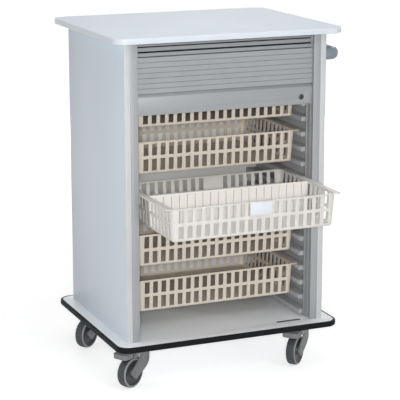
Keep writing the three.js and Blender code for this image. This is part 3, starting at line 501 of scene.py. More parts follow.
def lace(shape, one, two):
    """A face between each pair of neighbours in two closed loops of as many points."""
    pairs = zip(one, one[1:] + one[:1], two[1:] + two[:1], two)
    return [shape.faces.new(corners) for corners in pairs]


def lace_ring(shape, loops):
    """Laces each loop to the next one and the last to the first."""
    for below, above in zip(loops, loops[1:] + loops[:1]):
        lace(shape, below, above)
    bmesh.ops.recalc_face_normals(shape, faces=shape.faces)


def ring_round(name, low, high, corner, profile, material):
    """A closed band round a rectangle with rounded corners; its profile is (inset, height) pairs."""
    shape = bmesh.new()
    loops = []
    for inset, height in profile:
        path = round_corner_path(low, high, corner, inset)
        loops.append([shape.verts.new((x, y, height)) for x, y in path])
    lace_ring(shape, loops)
    return settle(show(name, shape, material))


board = coated_board("pale_board_coating", LIT_BOARD_SHADE, LIT_BOARD_LIGHT)
black_rubber = soft_tread("black_bumper_rubber", BLACK_RUBBER_SHADE, BLACK_RUBBER, 0.62, 0.12)
base = softened("base_board", "board", BOARD_EDGE, board)
base_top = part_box("base_board")[1].z
strike_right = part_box("lock_cylinder")[1].x
lead_low, lead_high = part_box("shutter_lead_bar")
strike_y = (lead_low.y + lead_high.y) / 2


def in_shaded_strike_slot(face):
    """True for the walls and the bottom of the slot that the lock bolt drops into, which are painted dark
    as shade.
    """
    across = strike_right - STRIKE_WIDTH - STRIKE_SLACK < face.center.x < strike_right + STRIKE_SLACK
    deep = abs(face.center.y - strike_y) < STRIKE_DEPTH / 2 + STRIKE_SLACK
    return across and deep and face.center.z < base_top - STRIKE_SLACK


# The slot's walls and bottom get the dark nylon as painted shade.
finish_faces(base, dark_nylon_and_slot_shade, in_shaded_strike_slot)
# A black liner in the slot, painted shade.
shade_liner_reach = Vector((STRIKE_WIDTH / 2 + SHADE_LINER_FLANGE, STRIKE_DEPTH / 2 + SHADE_LINER_FLANGE, 0.0))
shade_liner_middle = Vector((strike_right - STRIKE_WIDTH / 2, strike_y, base_top))
shade_liner_profile = (
    (0.0, base_top),
    (SHADE_LINER_PROUD, base_top + SHADE_LINER_PROUD),
    (SHADE_LINER_FLANGE - SHADE_LINER_PROUD, base_top + SHADE_LINER_PROUD),
    (SHADE_LINER_FLANGE, base_top),
    (SHADE_LINER_FLANGE, base_top - SHADE_LINER_SINK),
    (SHADE_LINER_FLANGE - SHADE_LINER_PROUD, base_top - SHADE_LINER_SINK),
)
shade_liner = ring_round(
    "strike_slot_liner",
    shade_liner_middle - shade_liner_reach,
    shade_liner_middle + shade_liner_reach,
    SHADE_LINER_FLANGE,
    shade_liner_profile,
    dark_nylon_and_slot_shade,
)
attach(shade_liner, "cabinet")
bumper_low, bumper_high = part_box("base_bumper")
bumper_tall = bumper_high.z - bumper_low.z
lower_half = [(BUMPER_SWELL * out, bumper_low.z + bumper_tall * up) for out, up in BUMPER_ROUND]
upper_half = [(inset, bumper_low.z + bumper_high.z - height) for inset, height in reversed(lower_half)]
bumper_profile = [(BUMPER_RUN, bumper_low.z), *lower_half, *upper_half, (BUMPER_RUN, bumper_high.z)]
bumper = ring_round(
    "base_bumper_profile", bumper_low, bumper_high, FOOT_CORNER, bumper_profile, black_rubber
)
stands_for(bumper, "bumper", "base_bumper")


# Side panels, backs and ceiling
# The same coated chipboard, cut square, with thin edge bands ironed on. The inner back and the thin
# ceiling keep goods in the baskets away from the rolled-up shutter.
PANEL_EDGE = 0.0010
FACING = 0.9
SIDE_LIGHT = (0.685, 0.760, 0.830)
SIDE_SHADE = (0.665, 0.740, 0.810)
BAND_LIGHT = (0.600, 0.612, 0.620)
BAND_SHADE = (0.580, 0.592, 0.600)
INSIDE_LIGHT = (0.860, 0.862, 0.865)
INSIDE_SHADE = (0.840, 0.842, 0.845)
side_board = coated_board("side_panel_coating", SIDE_SHADE, SIDE_LIGHT)
inside_board = coated_board("inner_panel_coating", INSIDE_SHADE, INSIDE_LIGHT)
band_plastic = moulded_plastic("pale_edge_band", BAND_SHADE, BAND_LIGHT, 0.38, 0.00002)
for node in ("left_side_panel", "right_side_panel"):
    panel = softened(node, "board", PANEL_EDGE, side_board)
    finish_faces(panel, band_plastic, lambda face: face.normal.y < -FACING)
# The back panel takes the same lighter, painted-light copy of the coating.
softened("back_panel", "board", BOARD_EDGE, board)
for node in ("inner_back_panel", "inner_ceiling_panel"):
    softened(node, "board", BOARD_EDGE, inside_board)


# Shutter guides
# Grey anodised aluminium, drawn in one length, with the groove that the slat ends run in. Each one
# is screwed to the inside of its side panel, behind the panel's front edge.
GUIDE_EDGE = 0.0006
GUIDE_LIP = 0.0024
GUIDE_LIP_DEEP = 0.006
GUIDE_LIP_BELOW_TOP = 0.046
ALUMINIUM = (0.375, 0.390, 0.405)
ALUMINIUM_SHADE = (0.345, 0.360, 0.375)


def drawn_aluminium(name, shade, light, rough, stretch):
    """Satin anodised aluminium with faint die lines along the drawn direction."""
    lines = (260.0, 2.0, stretch)
    return finish(
        name,
        {"Metallic": 0.25},
        tones=(shade, light, lines),
        gloss=(rough - 0.05, rough + 0.07, (30.0,)),
        bumps=(0.00003, lines),
    )


def drawn(outline, axis, start, end):
    """A closed outline drawn along an axis: pairs are (Y, Z) along X, (X, Z) along Y, (X, Y) along Z."""
    shape = bmesh.new()

    def place(pair, along):
        first, second = pair
        return {
            "X": (along, first, second),
            "Y": (first, along, second),
            "Z": (first, second, along),
        }[axis]

    near = [shape.verts.new(place(pair, start)) for pair in outline]
    far = [shape.verts.new(place(pair, end)) for pair in outline]
    shape.faces.new(near)
    shape.faces.new(far)
    lace(shape, near, far)
    bmesh.ops.recalc_face_normals(shape, faces=shape.faces)
    return shape


def oblong(x, y, far_x, far_y):
    """The outline of a rectangle between two opposite corners."""
    return ((x, y), (far_x, y), (far_x, far_y), (x, far_y))


def merged(first, *others):
    """Joins pieces into the first one and takes the others out of the scene."""
    shape = bmesh.new()
    for piece in (first, *others):
        shape.from_mesh(piece.data)
    shape.to_mesh(first.data)
    shape.free()
    for piece in others:
        bpy.data.objects.remove(piece)
    return first


guide_metal = drawn_aluminium("anodised_guide", ALUMINIUM_SHADE, ALUMINIUM, 0.40, (1.0, 1.0, 0.01))
for side, node in ((-1, "left_shutter_guide"), (1, "right_shutter_guide")):
    guide_low, guide_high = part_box(node)
    face_x = guide_high.x if side < 0 else guide_low.x
    lip_x = side * GUIDE_LIP
    lip_y = guide_high.y - GUIDE_LIP_DEEP
    lip_outline = oblong(face_x + lip_x, lip_y, face_x - lip_x, guide_high.y)
    lip_shape = drawn(lip_outline, "Z", guide_low.z, guide_high.z - GUIDE_LIP_BELOW_TOP)
    lip = soften(show(f"{node}_lip", lip_shape, guide_metal), GUIDE_EDGE)
    settle(merged(softened(node, "guide", GUIDE_EDGE, guide_metal), lip))


# Runner ladders
# Grey moulded ABS: a thin plate on each side wall with a row of ledges, evenly spaced from top to
# bottom. Each ledge is braced to the plate by a hollow curve under it.
LEDGE_COUNT = 16
LEDGE_PITCH = 0.05058
LEDGE_START = 0.0222
LEDGE_THICK = 0.015
LEDGE_BRACE = 0.0035
LEDGE_CURVE_STEPS = 6
LEDGE_LIP = 0.15
LADDER_PLATE = 0.0037
LADDER_EDGE = 0.0009
LADDER = (0.420, 0.428, 0.436)
LADDER_SHADE = (0.395, 0.403, 0.411)


def line_tree():
    """Geometry Nodes: copies of a unit at even steps along a line."""
    inputs = {"Unit": "Geometry", "Count": "Int", "Step": "Vector"}
    tree, sockets, given = start_tree("unit_along_line", inputs)
    line = add_node(tree, "GeometryNodeMeshLine", {"Count": given["Count"], "Offset": given["Step"]})
    copy = {"Points": line["Mesh"], "Instance": given["Unit"]}
    copies = add_node(tree, "GeometryNodeInstanceOnPoints", copy)
    return end_tree(tree, sockets, given, copies["Instances"])


unit_line = line_tree()
ladder_plastic = moulded_plastic("grey_ladder_plastic", LADDER_SHADE, LADDER, 0.42)
for side, node in ((-1, "left_runner_ladder"), (1, "right_runner_ladder")):
    ladder_low, ladder_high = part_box(node)
    wall_x = ladder_low.x if side < 0 else ladder_high.x
    tip_x = ladder_high.x if side < 0 else ladder_low.x
    plate_x = wall_x - side * LADDER_PLATE
    plate_outline = oblong(wall_x, ladder_low.y, plate_x, ladder_high.y)
    plate_shape = drawn(plate_outline, "Z", ladder_low.z, ladder_high.z)
    plate = soften(show(f"{node}_moulding", plate_shape, ladder_plastic), LADDER_EDGE)
    ledge_top = base_top + LEDGE_START
    ledge_low = ledge_top - LEDGE_THICK
    reach = abs(plate_x - tip_x)
    ledge_outline = [
        (plate_x + side * LADDER_PLATE / 2, ledge_top),
        (tip_x, ledge_top),
        (tip_x, ledge_low),
    ]
    for turn in quarter_turn(LEDGE_CURVE_STEPS):
        brace_x = tip_x + side * reach * (LEDGE_LIP + (1 - LEDGE_LIP) * math.sin(turn))
        ledge_outline.append((brace_x, ledge_low - LEDGE_BRACE * (1 - math.cos(turn))))
    ledge_outline.append((plate_x + side * LADDER_PLATE / 2, ledge_low - LEDGE_BRACE))
    ledge_shape = drawn(ledge_outline, "Y", ladder_low.y + LADDER_EDGE, ladder_high.y)
    ledge = soften(show(f"{node}_ledges", ledge_shape, ladder_plastic), LADDER_EDGE)
    ledges = by_nodes(
        ledge,
        unit_line,
        Count=LEDGE_COUNT,
        Step=(0.0, 0.0, LEDGE_PITCH),
        Finish=ladder_plastic,
    )
    stands_for(settle(merged(plate, ledges)), "ladder", node)


# Lattice baskets
# Ivory polypropylene, moulded in one shot: a flat rim that hangs on the ledges, walls that lean in a
# little, and two rows of slots all round. The floor is plain and turns up into the walls in a curve.
# The pulled-out one is more milky than the rest, and paler: a lighter copy of the same ivory that is
# painted light.
BASKET_COUNT = 5
PULLED_BASKET = 3
RIM_THICK = 0.003
RIM_SIDE = 0.021
RIM_END = 0.002
RIM_CORNER = 0.012
RIM_EDGE = 0.0007
BASKET_DRAFT = 0.006
BASKET_CORNER = 0.014
BASKET_CORNER_STEPS = 5
BASKET_CORNER_LEAST = 0.002
BASKET_WALL = 0.0025
BASKET_FOOT = 0.006
FOOT_LIP = 0.009
FOOT_STEPS = 4
SLOT_WIDTH = 0.0165
SLOT_END = 0.0185
SLOT_TOP = 0.007
SLOT_BOTTOM = 0.010
SLOT_BAND = 0.011
FRONT_SLOTS = 18
SIDE_SLOTS = 12
CLOSED_SLOTS = (9, 10)
SLOT_EDGE = 0.0005
CELL_WELD = 0.000001
IVORY = (0.685, 0.616, 0.530)
IVORY_SHADE = (0.665, 0.596, 0.510)
PULLED_MILKY = 0.35
# The pulled-out basket's paler ivory is painted light, a lighter copy of the others' ivory.
LIT_IVORY = (0.740, 0.720, 0.680)
LIT_IVORY_SHADE = (0.705, 0.685, 0.645)


def lattice_tree():
    """Geometry Nodes: takes every cell that is marked as a slot out of a sheet of cells."""
    tree, sockets, given = start_tree("slots_out_of_cells", {"Cells": "Geometry", "Weld": "Float"})
    marked = add_node(tree, "GeometryNodeInputNamedAttribute", {"Name": "slot"}, data_type="BOOLEAN")
    chosen = {"Geometry": given["Cells"], "Selection": marked["Attribute"]}
    opened = add_node(tree, "GeometryNodeDeleteGeometry", chosen, domain="FACE")
    edges = {"Geometry": opened["Geometry"], "Distance": given["Weld"]}
    welded = add_node(tree, "GeometryNodeMergeByDistance", edges)
    return end_tree(tree, sockets, given, welded["Geometry"])


def even_slots(start, end, count, width):
    """The two edges of each slot in a row that starts and ends with a slot."""
    pitch = (end - start - width) / (count - 1)
    return [edge for slot in range(count) for edge in (start + slot * pitch, start + slot * pitch + width)]


def wall_ring(low, high, corner, slots_x, slots_y):
    """One level of a wall, anticlockwise from the front left, with a stop at each slot edge.
    Gives the points and, for the cell after each point, the wall and the number of the slot in it."""
    points = []
    cells = []
    near_x, far_x = low.x + corner, high.x - corner
    near_y, far_y = low.y + corner, high.y - corner
    walls = (
        ("front", [near_x, *slots_x, far_x], lambda u: (u, low.y), (far_x, near_y)),
        ("right", [near_y, *slots_y, far_y], lambda u: (high.x, u), (far_x, far_y)),
        ("back", [far_x, *reversed(slots_x), near_x], lambda u: (u, high.y), (near_x, far_y)),
        ("left", [far_y, *reversed(slots_y), near_y], lambda u: (low.x, u), (near_x, near_y)),
    )
    for side, (wall, stops, place, middle) in enumerate(walls):
        for number, stop in enumerate(stops):
            points.append(place(stop))
            is_slot = number % 2 == 1 and number < len(stops) - 1
            cells.append((wall, number // 2) if is_slot else None)
        bend = arc(*middle, corner, 90 * (side - 1), BASKET_CORNER_STEPS)[1:-1]
        points.extend(bend)
        cells.extend(None for point in bend)
    return points, cells


def basket_cells(low, high, closed_back):
    """The outer skin of a basket's walls and floor as cells, each one marked as slot or not."""
    body_low = Vector((low.x + RIM_SIDE, low.y + RIM_END))
    body_high = Vector((high.x - RIM_SIDE, high.y - RIM_END))
    tall = high.z - low.z
    draft = Vector((BASKET_DRAFT, BASKET_DRAFT))
    floor_low = body_low + draft
    floor_high = body_high - draft
    slots_x = even_slots(floor_low.x + SLOT_END, floor_high.x - SLOT_END, FRONT_SLOTS, SLOT_WIDTH)
    slots_y = even_slots(floor_low.y + SLOT_END, floor_high.y - SLOT_END, SIDE_SLOTS, SLOT_WIDTH)
    row = (tall - SLOT_TOP - SLOT_BOTTOM - SLOT_BAND) / 2
    levels = [(low.z, BASKET_FOOT + FOOT_LIP)]
    for turn in quarter_turn(FOOT_STEPS):
        levels.append((low.z + BASKET_FOOT * (1 - math.cos(turn)), BASKET_FOOT * (1 - math.sin(turn))))
    slot_edges = (
        low.z + SLOT_BOTTOM,
        low.z + SLOT_BOTTOM + row,
        high.z - SLOT_TOP - row,
        high.z - SLOT_TOP,
    )
    levels.extend((height, 0.0) for height in (*slot_edges, high.z - RIM_THICK / 2))
    slot_rows = {len(levels) - 5: "lower", len(levels) - 3: "upper"}
    shape = bmesh.new()
    mark = shape.faces.layers.bool.new("slot")
    rings = []
    for height, foot_inset in levels:
        lean = BASKET_DRAFT * (high.z - height) / tall + foot_inset
        inset = Vector((lean, lean))
        corner = max(BASKET_CORNER - foot_inset, BASKET_CORNER_LEAST)
        points, cells = wall_ring(body_low + inset, body_high - inset, corner, slots_x, slots_y)
        rings.append([shape.verts.new((x, y, height)) for x, y in points])
    for level, (below, above) in enumerate(zip(rings, rings[1:])):
        for face, cell in zip(lace(shape, below, above), cells):
            open_cell = level in slot_rows and cell is not None
            if open_cell and slot_rows[level] == "upper" and cell[0] == "back":
                open_cell = FRONT_SLOTS - 1 - cell[1] not in closed_back
            face[mark] = open_cell
    shape.faces.new(list(reversed(rings[0])))
    return shape


def thicken(piece, wall):
    """Gives a skin its wall thickness, inwards from its faces."""
    solid = piece.modifiers.new("wall", "SOLIDIFY")
    solid.thickness = wall
    solid.offset = -1.0
    solid.use_even_offset = True
    return settle(piece)


def basket_rim(name, low, high, material):
    """The flat rim: a band between the outer edge and the inside of the walls."""
    outer = round_corner_path(low, high, RIM_CORNER, 0.0, BASKET_CORNER_STEPS)
    wall = Vector((RIM_SIDE + BASKET_WALL, RIM_END + BASKET_WALL, 0.0))
    inner_corner = BASKET_CORNER - BASKET_WALL
    inner = round_corner_path(low + wall, high - wall, inner_corner, 0.0, BASKET_CORNER_STEPS)
    shape = bmesh.new()
    loops = [
        [shape.verts.new((x, y, height)) for x, y in path]
        for path, height in (
            (inner, high.z - RIM_THICK),
            (outer, high.z - RIM_THICK),
            (outer, high.z),
            (inner, high.z),
        )
    ]
    lace_ring(shape, loops)
    return soften(show(name, shape, material), RIM_EDGE)


lattice = lattice_tree()
ivory = moulded_plastic("ivory_polypropylene", IVORY_SHADE, IVORY, 0.44, 0.00003)
# Paler copy of the ivory for the pulled-out basket: painted light.
lit_ivory = moulded_plastic(
    "pale_polypropylene", LIT_IVORY_SHADE, LIT_IVORY, 0.44, 0.00003, PULLED_MILKY
)
for number in range(1, BASKET_COUNT + 1):
    node = f"basket_{number}"
    basket_low, basket_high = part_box(node)
    closed_slots = CLOSED_SLOTS if number == PULLED_BASKET else ()
    plastic = lit_ivory if number == PULLED_BASKET else ivory
    cells = show(f"{node}_lattice", basket_cells(basket_low, basket_high, closed_slots), plastic)
    opened = by_nodes(cells, lattice, Weld=CELL_WELD, Finish=plastic)
    walls = soften(thicken(opened, BASKET_WALL), SLOT_EDGE, 1)
    rim = basket_rim(f"{node}_rim", basket_low, basket_high, plastic)
    stands_for(settle(merged(walls, rim)), "basket", node)


# Basket divider, label holder and card
# The divider is a loose off-white plate with fine upright slits, which stands across the pulled-out
# basket. A clip-on ivory frame on that basket's rim holds a blank bluish-white card.
DIVIDER_PITCH = 0.0268
DIVIDER_SLIT = 0.0016
DIVIDER_EDGE_BAND = 0.006
DIVIDER_SLIT_ROW = 1
LABEL_EDGE = 0.0004
CARD_EDGE = 0.0001
DIVIDER_WHITE = (0.830, 0.805, 0.765)
DIVIDER_WHITE_SHADE = (0.810, 0.785, 0.745)
CARD = (0.760, 0.790, 0.850)
CARD_SHADE = (0.740, 0.770, 0.830)
divider_low, divider_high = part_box("basket_divider")
divider_taper = BASKET_DRAFT
slit_count = int((divider_high.x - divider_low.x - 2 * divider_taper) / DIVIDER_PITCH)
first_slit = (divider_low.x + divider_high.x - (slit_count - 1) * DIVIDER_PITCH - DIVIDER_SLIT) / 2
last_slit = first_slit + (slit_count - 1) * DIVIDER_PITCH + DIVIDER_SLIT
slits = even_slots(first_slit, last_slit, slit_count, DIVIDER_SLIT)
divider_levels = (
    (divider_low.z, divider_taper),
    (divider_low.z + DIVIDER_EDGE_BAND, divider_taper),
    (divider_high.z - DIVIDER_EDGE_BAND, 0.0),
    (divider_high.z, 0.0),
)
divider_shape = bmesh.new()
slit_mark = divider_shape.faces.layers.bool.new("slot")
divider_rows = []
for height, taper in divider_levels:
    stops = [divider_low.x + taper, *slits, divider_high.x - taper]
    divider_rows.append([divider_shape.verts.new((x, divider_low.y, height)) for x in stops])
for row, (below, above) in enumerate(zip(divider_rows, divider_rows[1:])):
    for stop, corners in enumerate(zip(below, below[1:], above[1:], above)):
        face = divider_shape.faces.new(corners)
        face[slit_mark] = row == DIVIDER_SLIT_ROW and stop % 2 == 1
divider_white = moulded_plastic("white_divider_plastic", DIVIDER_WHITE_SHADE, DIVIDER_WHITE, 0.46)
divider_sheet = show("basket_divider_plate", divider_shape, divider_white)
divider = by_nodes(divider_sheet, lattice, Weld=CELL_WELD, Finish=divider_white)
divider = soften(thicken(divider, divider_high.y - divider_low.y), LABEL_EDGE)
stands_for(divider, "basket", "basket_divider")
softened("label_holder", "basket", LABEL_EDGE, lit_ivory)
matt_card = finish(
    "blank_card",
    {"Metallic": 0.0},
    tones=(CARD_SHADE, CARD, (40.0, 4.0)),
    gloss=(0.45, 0.60, (60.0,)),
    bumps=(0.00002, (1800.0, 3.0, (1.0, 1.0, 0.3))),
)
softened("label_card", "label", CARD_EDGE, matt_card)


# Roller shutter
# Grey plastic slats. Seven hang in the guides in front; the rest has run up over two curved tracks, back
# under the top board and down behind the inner back, where its joints gape. A black sheet just behind that
# part, with a woven look, is painted shade seen through the gaps.
SLAT_COUNT = 7
SLAT_PITCH = 0.0163
SLAT_GAP = 0.0003
SLAT_ROUND = 0.0021
SLAT_ROUND_STEPS = 4
SHUTTER_DROP = 0.170
CURTAIN_OVERLAP = 0.003
CURTAIN_HALF = 0.004
CURTAIN_BEND = 0.030
CURTAIN_SLAT = 0.0118
CURTAIN_SET_LOWER = 0.0066
CURTAIN_ARC_STEPS = 16
# A black sheet just behind the stored curtain is painted shade in the gaps between its slats.
SHADE_SHEET_BEHIND = 0.0005
SHADE_SHEET_THICK = 0.0006
SHADE_SHEET_BLACK = (0.0160, 0.0168, 0.0178)
SHADE_SHEET_BLACK_LOW = (0.0095, 0.0100, 0.0106)
SLAT_GREY = (0.350, 0.364, 0.376)
SLAT_GREY_SHADE = (0.333, 0.347, 0.359)


def slat_outline(front, back, low, high):
    """Section of a slat in Y and Z, with both front edges rounded over."""
    y = front + SLAT_ROUND
    upper = arc(y, high - SLAT_ROUND, SLAT_ROUND, 90, SLAT_ROUND_STEPS)
    lower = arc(y, low + SLAT_ROUND, SLAT_ROUND, 180, SLAT_ROUND_STEPS)
    return [(back, low), (back, high), *upper, *lower]


def path_tree():
    """Geometry Nodes: slats at even steps along a path, each one square to it."""
    inputs = {"Path": "Geometry", "Slat": "Object", "Pitch": "Float"}
    tree, sockets, given = start_tree("slats_along_path", inputs)
    curve = add_node(tree, "GeometryNodeMeshToCurve", {"Mesh": given["Path"]})
    even = {"Curve": curve["Curve"], "Length": given["Pitch"]}
    stops = add_node(tree, "GeometryNodeResampleCurve", even, mode="LENGTH")
    along = {"Vector": add_node(tree, "GeometryNodeInputTangent")["Tangent"]}
    turn = add_node(tree, "FunctionNodeAlignRotationToVector", along, axis="Z", pivot_axis="X")
    unit = add_node(tree, "GeometryNodeObjectInfo", {"Object": given["Slat"]})
    copy = {"Points": stops["Curve"], "Rotation": turn["Rotation"], "Instance": unit["Geometry"]}
    copies = add_node(tree, "GeometryNodeInstanceOnPoints", copy)
    return end_tree(tree, sockets, given, copies["Instances"])


def curtain_path(inset):
    """The stored curtain's run in Y and Z, moved inwards from the middle of its slats."""
    bend = CURTAIN_BEND - inset
    bend_z = curtain_high.z - CURTAIN_HALF - CURTAIN_BEND
    front_y = curtain_low.y + CURTAIN_HALF + inset
    rear_y = curtain_high.y - CURTAIN_HALF - inset
    front_low = slats_top - SHUTTER_DROP - CURTAIN_OVERLAP - CURTAIN_SET_LOWER + CURTAIN_SLAT / 2
    front_bend = reversed(arc(front_y + bend, bend_z, bend, 90, CURTAIN_ARC_STEPS))
    rear_bend = reversed(arc(rear_y - bend, bend_z, bend, 0, CURTAIN_ARC_STEPS))
    rear_low = curtain_low.z + CURTAIN_SLAT / 2
    return [(front_y, front_low), *front_bend, *rear_bend, (rear_y, rear_low)]


slat_plastic = moulded_plastic("grey_slat_plastic", SLAT_GREY_SHADE, SLAT_GREY, 0.40, 0.00002)
lowest_low, lowest_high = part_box(f"shutter_slat_{SLAT_COUNT}")
slat_high = lowest_low.z + SLAT_PITCH - SLAT_GAP
slat_section = slat_outline(lowest_low.y, lowest_high.y, lowest_low.z, slat_high)
slat = settle(show("shutter_slats", drawn(slat_section, "X", lowest_low.x, lowest_high.x), slat_plastic))
slats = by_nodes(
    slat,
    unit_line,
    Count=SLAT_COUNT,
    Step=(0.0, 0.0, SLAT_PITCH),
    Finish=slat_plastic,
)
stands_for(slats, "slat", *[f"shutter_slat_{number}" for number in range(1, SLAT_COUNT + 1)])

curtain_low, curtain_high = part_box("stored_curtain")
slats_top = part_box("shutter_slat_1")[1].z
path_shape = bmesh.new()
path_stops = [path_shape.verts.new((0.0, y, z)) for y, z in curtain_path(0.0)]
for first, second in zip(path_stops, path_stops[1:]):
    path_shape.edges.new((first, second))
unit_section = slat_outline(-CURTAIN_HALF, CURTAIN_HALF, -CURTAIN_SLAT / 2, CURTAIN_SLAT / 2)
unit_slat = show("curtain_slat", drawn(unit_section, "X", curtain_low.x, curtain_high.x), slat_plastic)
curtain = by_nodes(
    show("stored_curtain_slats", path_shape, slat_plastic),
    path_tree(),
    Slat=unit_slat,
    Pitch=SLAT_PITCH,
    Finish=slat_plastic,
)
bpy.data.objects.remove(unit_slat)
stands_for(curtain, "slat", "stored_curtain")

# The black sheet behind the stored curtain paints the shade seen through the gaps between its slats.
shade_sheet_shape = bmesh.new()
shade_sheet_rows = []
for y, z in curtain_path(SHADE_SHEET_BEHIND):
    shade_sheet_rows.append([shade_sheet_shape.verts.new((x, y, z)) for x in (curtain_low.x, curtain_high.x)])
for (left, right), (next_left, next_right) in zip(shade_sheet_rows, shade_sheet_rows[1:]):
    shade_sheet_shape.faces.new((left, right, next_right, next_left))
sheet_grain = (1200.0, 2.0, (0.08, 1.0, 1.0))
shade_sheet_finish = finish(
    "black_woven_back",
    {"Specular IOR Level": 0.1},
    tones=(SHADE_SHEET_BLACK_LOW, SHADE_SHEET_BLACK, sheet_grain),
    gloss=(0.80, 0.95, (150.0,)),
    bumps=(0.00008, sheet_grain),
)
shade_sheet = thicken(show("stored_curtain_fabric", shade_sheet_shape, shade_sheet_finish), SHADE_SHEET_THICK)
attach(shade_sheet, "cabinet")


# Lead bar and lock
# A hollow grey-coated aluminium bar closes the shutter's lower edge. A dark nickel-plated lock barrel
# sits flush in it near its right end and drives the steel bolt inside.
LEAD_EDGE = 0.0009
PAINTED_SHADE_FACING = 0.2
LOCK_RADIUS = 0.009
LOCK_PROUD = 0.002
LOCK_DOME = ((0.0, 0.0), (0.45, 0.05), (0.72, 0.22), (0.90, 0.55), (1.0, 1.0))
KEYWAY_WIDE = 0.0018
KEYWAY_TALL = 0.0080
KEYWAY_DEPTH = 0.0030
BAR_GREY = (0.328, 0.344, 0.356)
BAR_GREY_SHADE = (0.314, 0.330, 0.342)
# The bevel's darker grey is painted shade on the bar's faces that tilt up and forward.
BEVEL_PAINTED_SHADE = (0.215, 0.227, 0.236)
BEVEL_PAINTED_SHADE_LOW = (0.203, 0.215, 0.224)
NICKEL = (0.075, 0.079, 0.086)
NICKEL_SHADE = (0.050, 0.053, 0.059)
bar_coat = drawn_aluminium("coated_lead_bar", BAR_GREY_SHADE, BAR_GREY, 0.42, (0.01, 1.0, 1.0))
bevel_painted_shade = drawn_aluminium("matt_lead_bevel", BEVEL_PAINTED_SHADE_LOW, BEVEL_PAINTED_SHADE, 0.52, (0.01, 1.0, 1.0))
lead_bar = softened("shutter_lead_bar", "lead_bar", LEAD_EDGE, bar_coat)
# Faces that tilt up and forward get the darker grey: painted shade.
finish_faces(
    lead_bar,
    bevel_painted_shade,
    lambda face: face.normal.y < -PAINTED_SHADE_FACING and face.normal.z > PAINTED_SHADE_FACING,
)
lock_low, lock_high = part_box("lock_cylinder")
lock_middle = (lock_low + lock_high) / 2
lock_spot = Matrix.Translation((lock_middle.x, 0.0, lock_middle.z))
nickel = finish(
    "dark_nickel",
    {"Metallic": 0.85},
    tones=(NICKEL_SHADE, NICKEL, (220.0, 4.0)),
    gloss=(0.24, 0.38, (90.0,)),
    bumps=(0.00002, (1500.0,)),
)
dome = [(LOCK_RADIUS * out, lock_low.y + LOCK_PROUD * back) for out, back in LOCK_DOME]
barrel_profile = [*dome, (LOCK_RADIUS, lock_high.y), (0.0, lock_high.y)]
lock = turned("lock_barrel", barrel_profile, lock_spot, nickel, segments=48)
keyway_outline = oblong(
    lock_middle.x - KEYWAY_WIDE / 2,
    lock_middle.z - KEYWAY_TALL / 2,
    lock_middle.x + KEYWAY_WIDE / 2,
    lock_middle.z + KEYWAY_TALL / 2,
)
keyway_shape = drawn(keyway_outline, "Y", lock_low.y - KEYWAY_DEPTH, lock_low.y + KEYWAY_DEPTH)
keyway = show("keyway_cutter", keyway_shape, nickel)
slit = lock.modifiers.new("keyway", "BOOLEAN")
slit.operation = "DIFFERENCE"
slit.object = keyway
settle(lock)
bpy.data.objects.remove(keyway)
stands_for(lock, "lock", "lock_cylinder")
softened("lock_bolt", "zinc_steel", PLATE_EDGE, zinc)


# Top board
# The same footprint as the base: coated chipboard with a smooth edge band glued round it. The band's
# corners are softened so that the top is easy to wipe.
TOP_BAND_RUN = 0.003
TOP_ROUND = 0.0024
TOP_ROUND_STEPS = 3
# The top's coating is a darker copy of the base's, painted shade that holds back the strong light on top.
TOP_LIGHT = (0.750, 0.825, 0.895)
TOP_SHADE = (0.740, 0.815, 0.885)
TOP_BAND_LIGHT = (0.700, 0.745, 0.795)
TOP_BAND_SHADE = (0.680, 0.725, 0.775)
top_band_plastic = moulded_plastic("top_edge_band", TOP_BAND_SHADE, TOP_BAND_LIGHT, 0.38, 0.00002)
band_low, band_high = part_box("top_edge_band")
lower_round = reversed(arc(TOP_ROUND, band_low.z + TOP_ROUND, TOP_ROUND, 180, TOP_ROUND_STEPS))
upper_round = reversed(arc(TOP_ROUND, band_high.z - TOP_ROUND, TOP_ROUND, 90, TOP_ROUND_STEPS))
band_profile = [(TOP_BAND_RUN, band_low.z), *lower_round, *upper_round, (TOP_BAND_RUN, band_high.z)]
band = ring_round(
    "top_edge_band_moulding", band_low, band_high, FOOT_CORNER, band_profile, top_band_plastic
)
stands_for(band, "edge_band", "top_edge_band")
top_outline = round_corner_path(band_low, band_high, FOOT_CORNER, TOP_BAND_RUN)
darker_top_coating = coated_board("top_board_coating", TOP_SHADE, TOP_LIGHT, 0.5)
top = settle(show("top_board_slab", drawn(top_outline, "Z", band_low.z, band_high.z), darker_top_coating))
stands_for(top, "board", "top_board")


# Push handle
# A blue-grey moulded bow on the right side panel, oval in section, with a flat foot under each end.
# Hidden screws hold it from inside the cabinet.
HANDLE_TALL = 0.037
HANDLE_DEEP = 0.026
HANDLE_BEND = 0.040
HANDLE_SIDES = 32
HANDLE_BEND_STEPS = 14
HANDLE_FOOT_EDGE = 0.0012
GRIP = (0.225, 0.262, 0.290)
GRIP_SHADE = (0.195, 0.230, 0.256)
grip_plastic = moulded_plastic("blue_grey_grip", GRIP_SHADE, GRIP, 0.36, 0.00005)
bar_low, bar_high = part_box("push_handle_bar")
grip_z = (bar_low.z + bar_high.z) / 2
grip_x = bar_high.x - HANDLE_DEEP / 2
near_y = bar_low.y + HANDLE_DEEP / 2
far_y = bar_high.y - HANDLE_DEEP / 2
bend_x = grip_x - HANDLE_BEND
stops = [(bar_low.x, near_y, math.radians(-90))]
for bend_y, start in ((near_y + HANDLE_BEND, -90), (far_y - HANDLE_BEND, 0)):
    turns = quarter_turn(HANDLE_BEND_STEPS, start)
    bend = arc(bend_x, bend_y, HANDLE_BEND, start, HANDLE_BEND_STEPS)
    stops.extend((x, y, turn) for (x, y), turn in zip(bend, turns))
stops.append((bar_low.x, far_y, math.radians(90)))
bow_shape = bmesh.new()
bow_rings = []
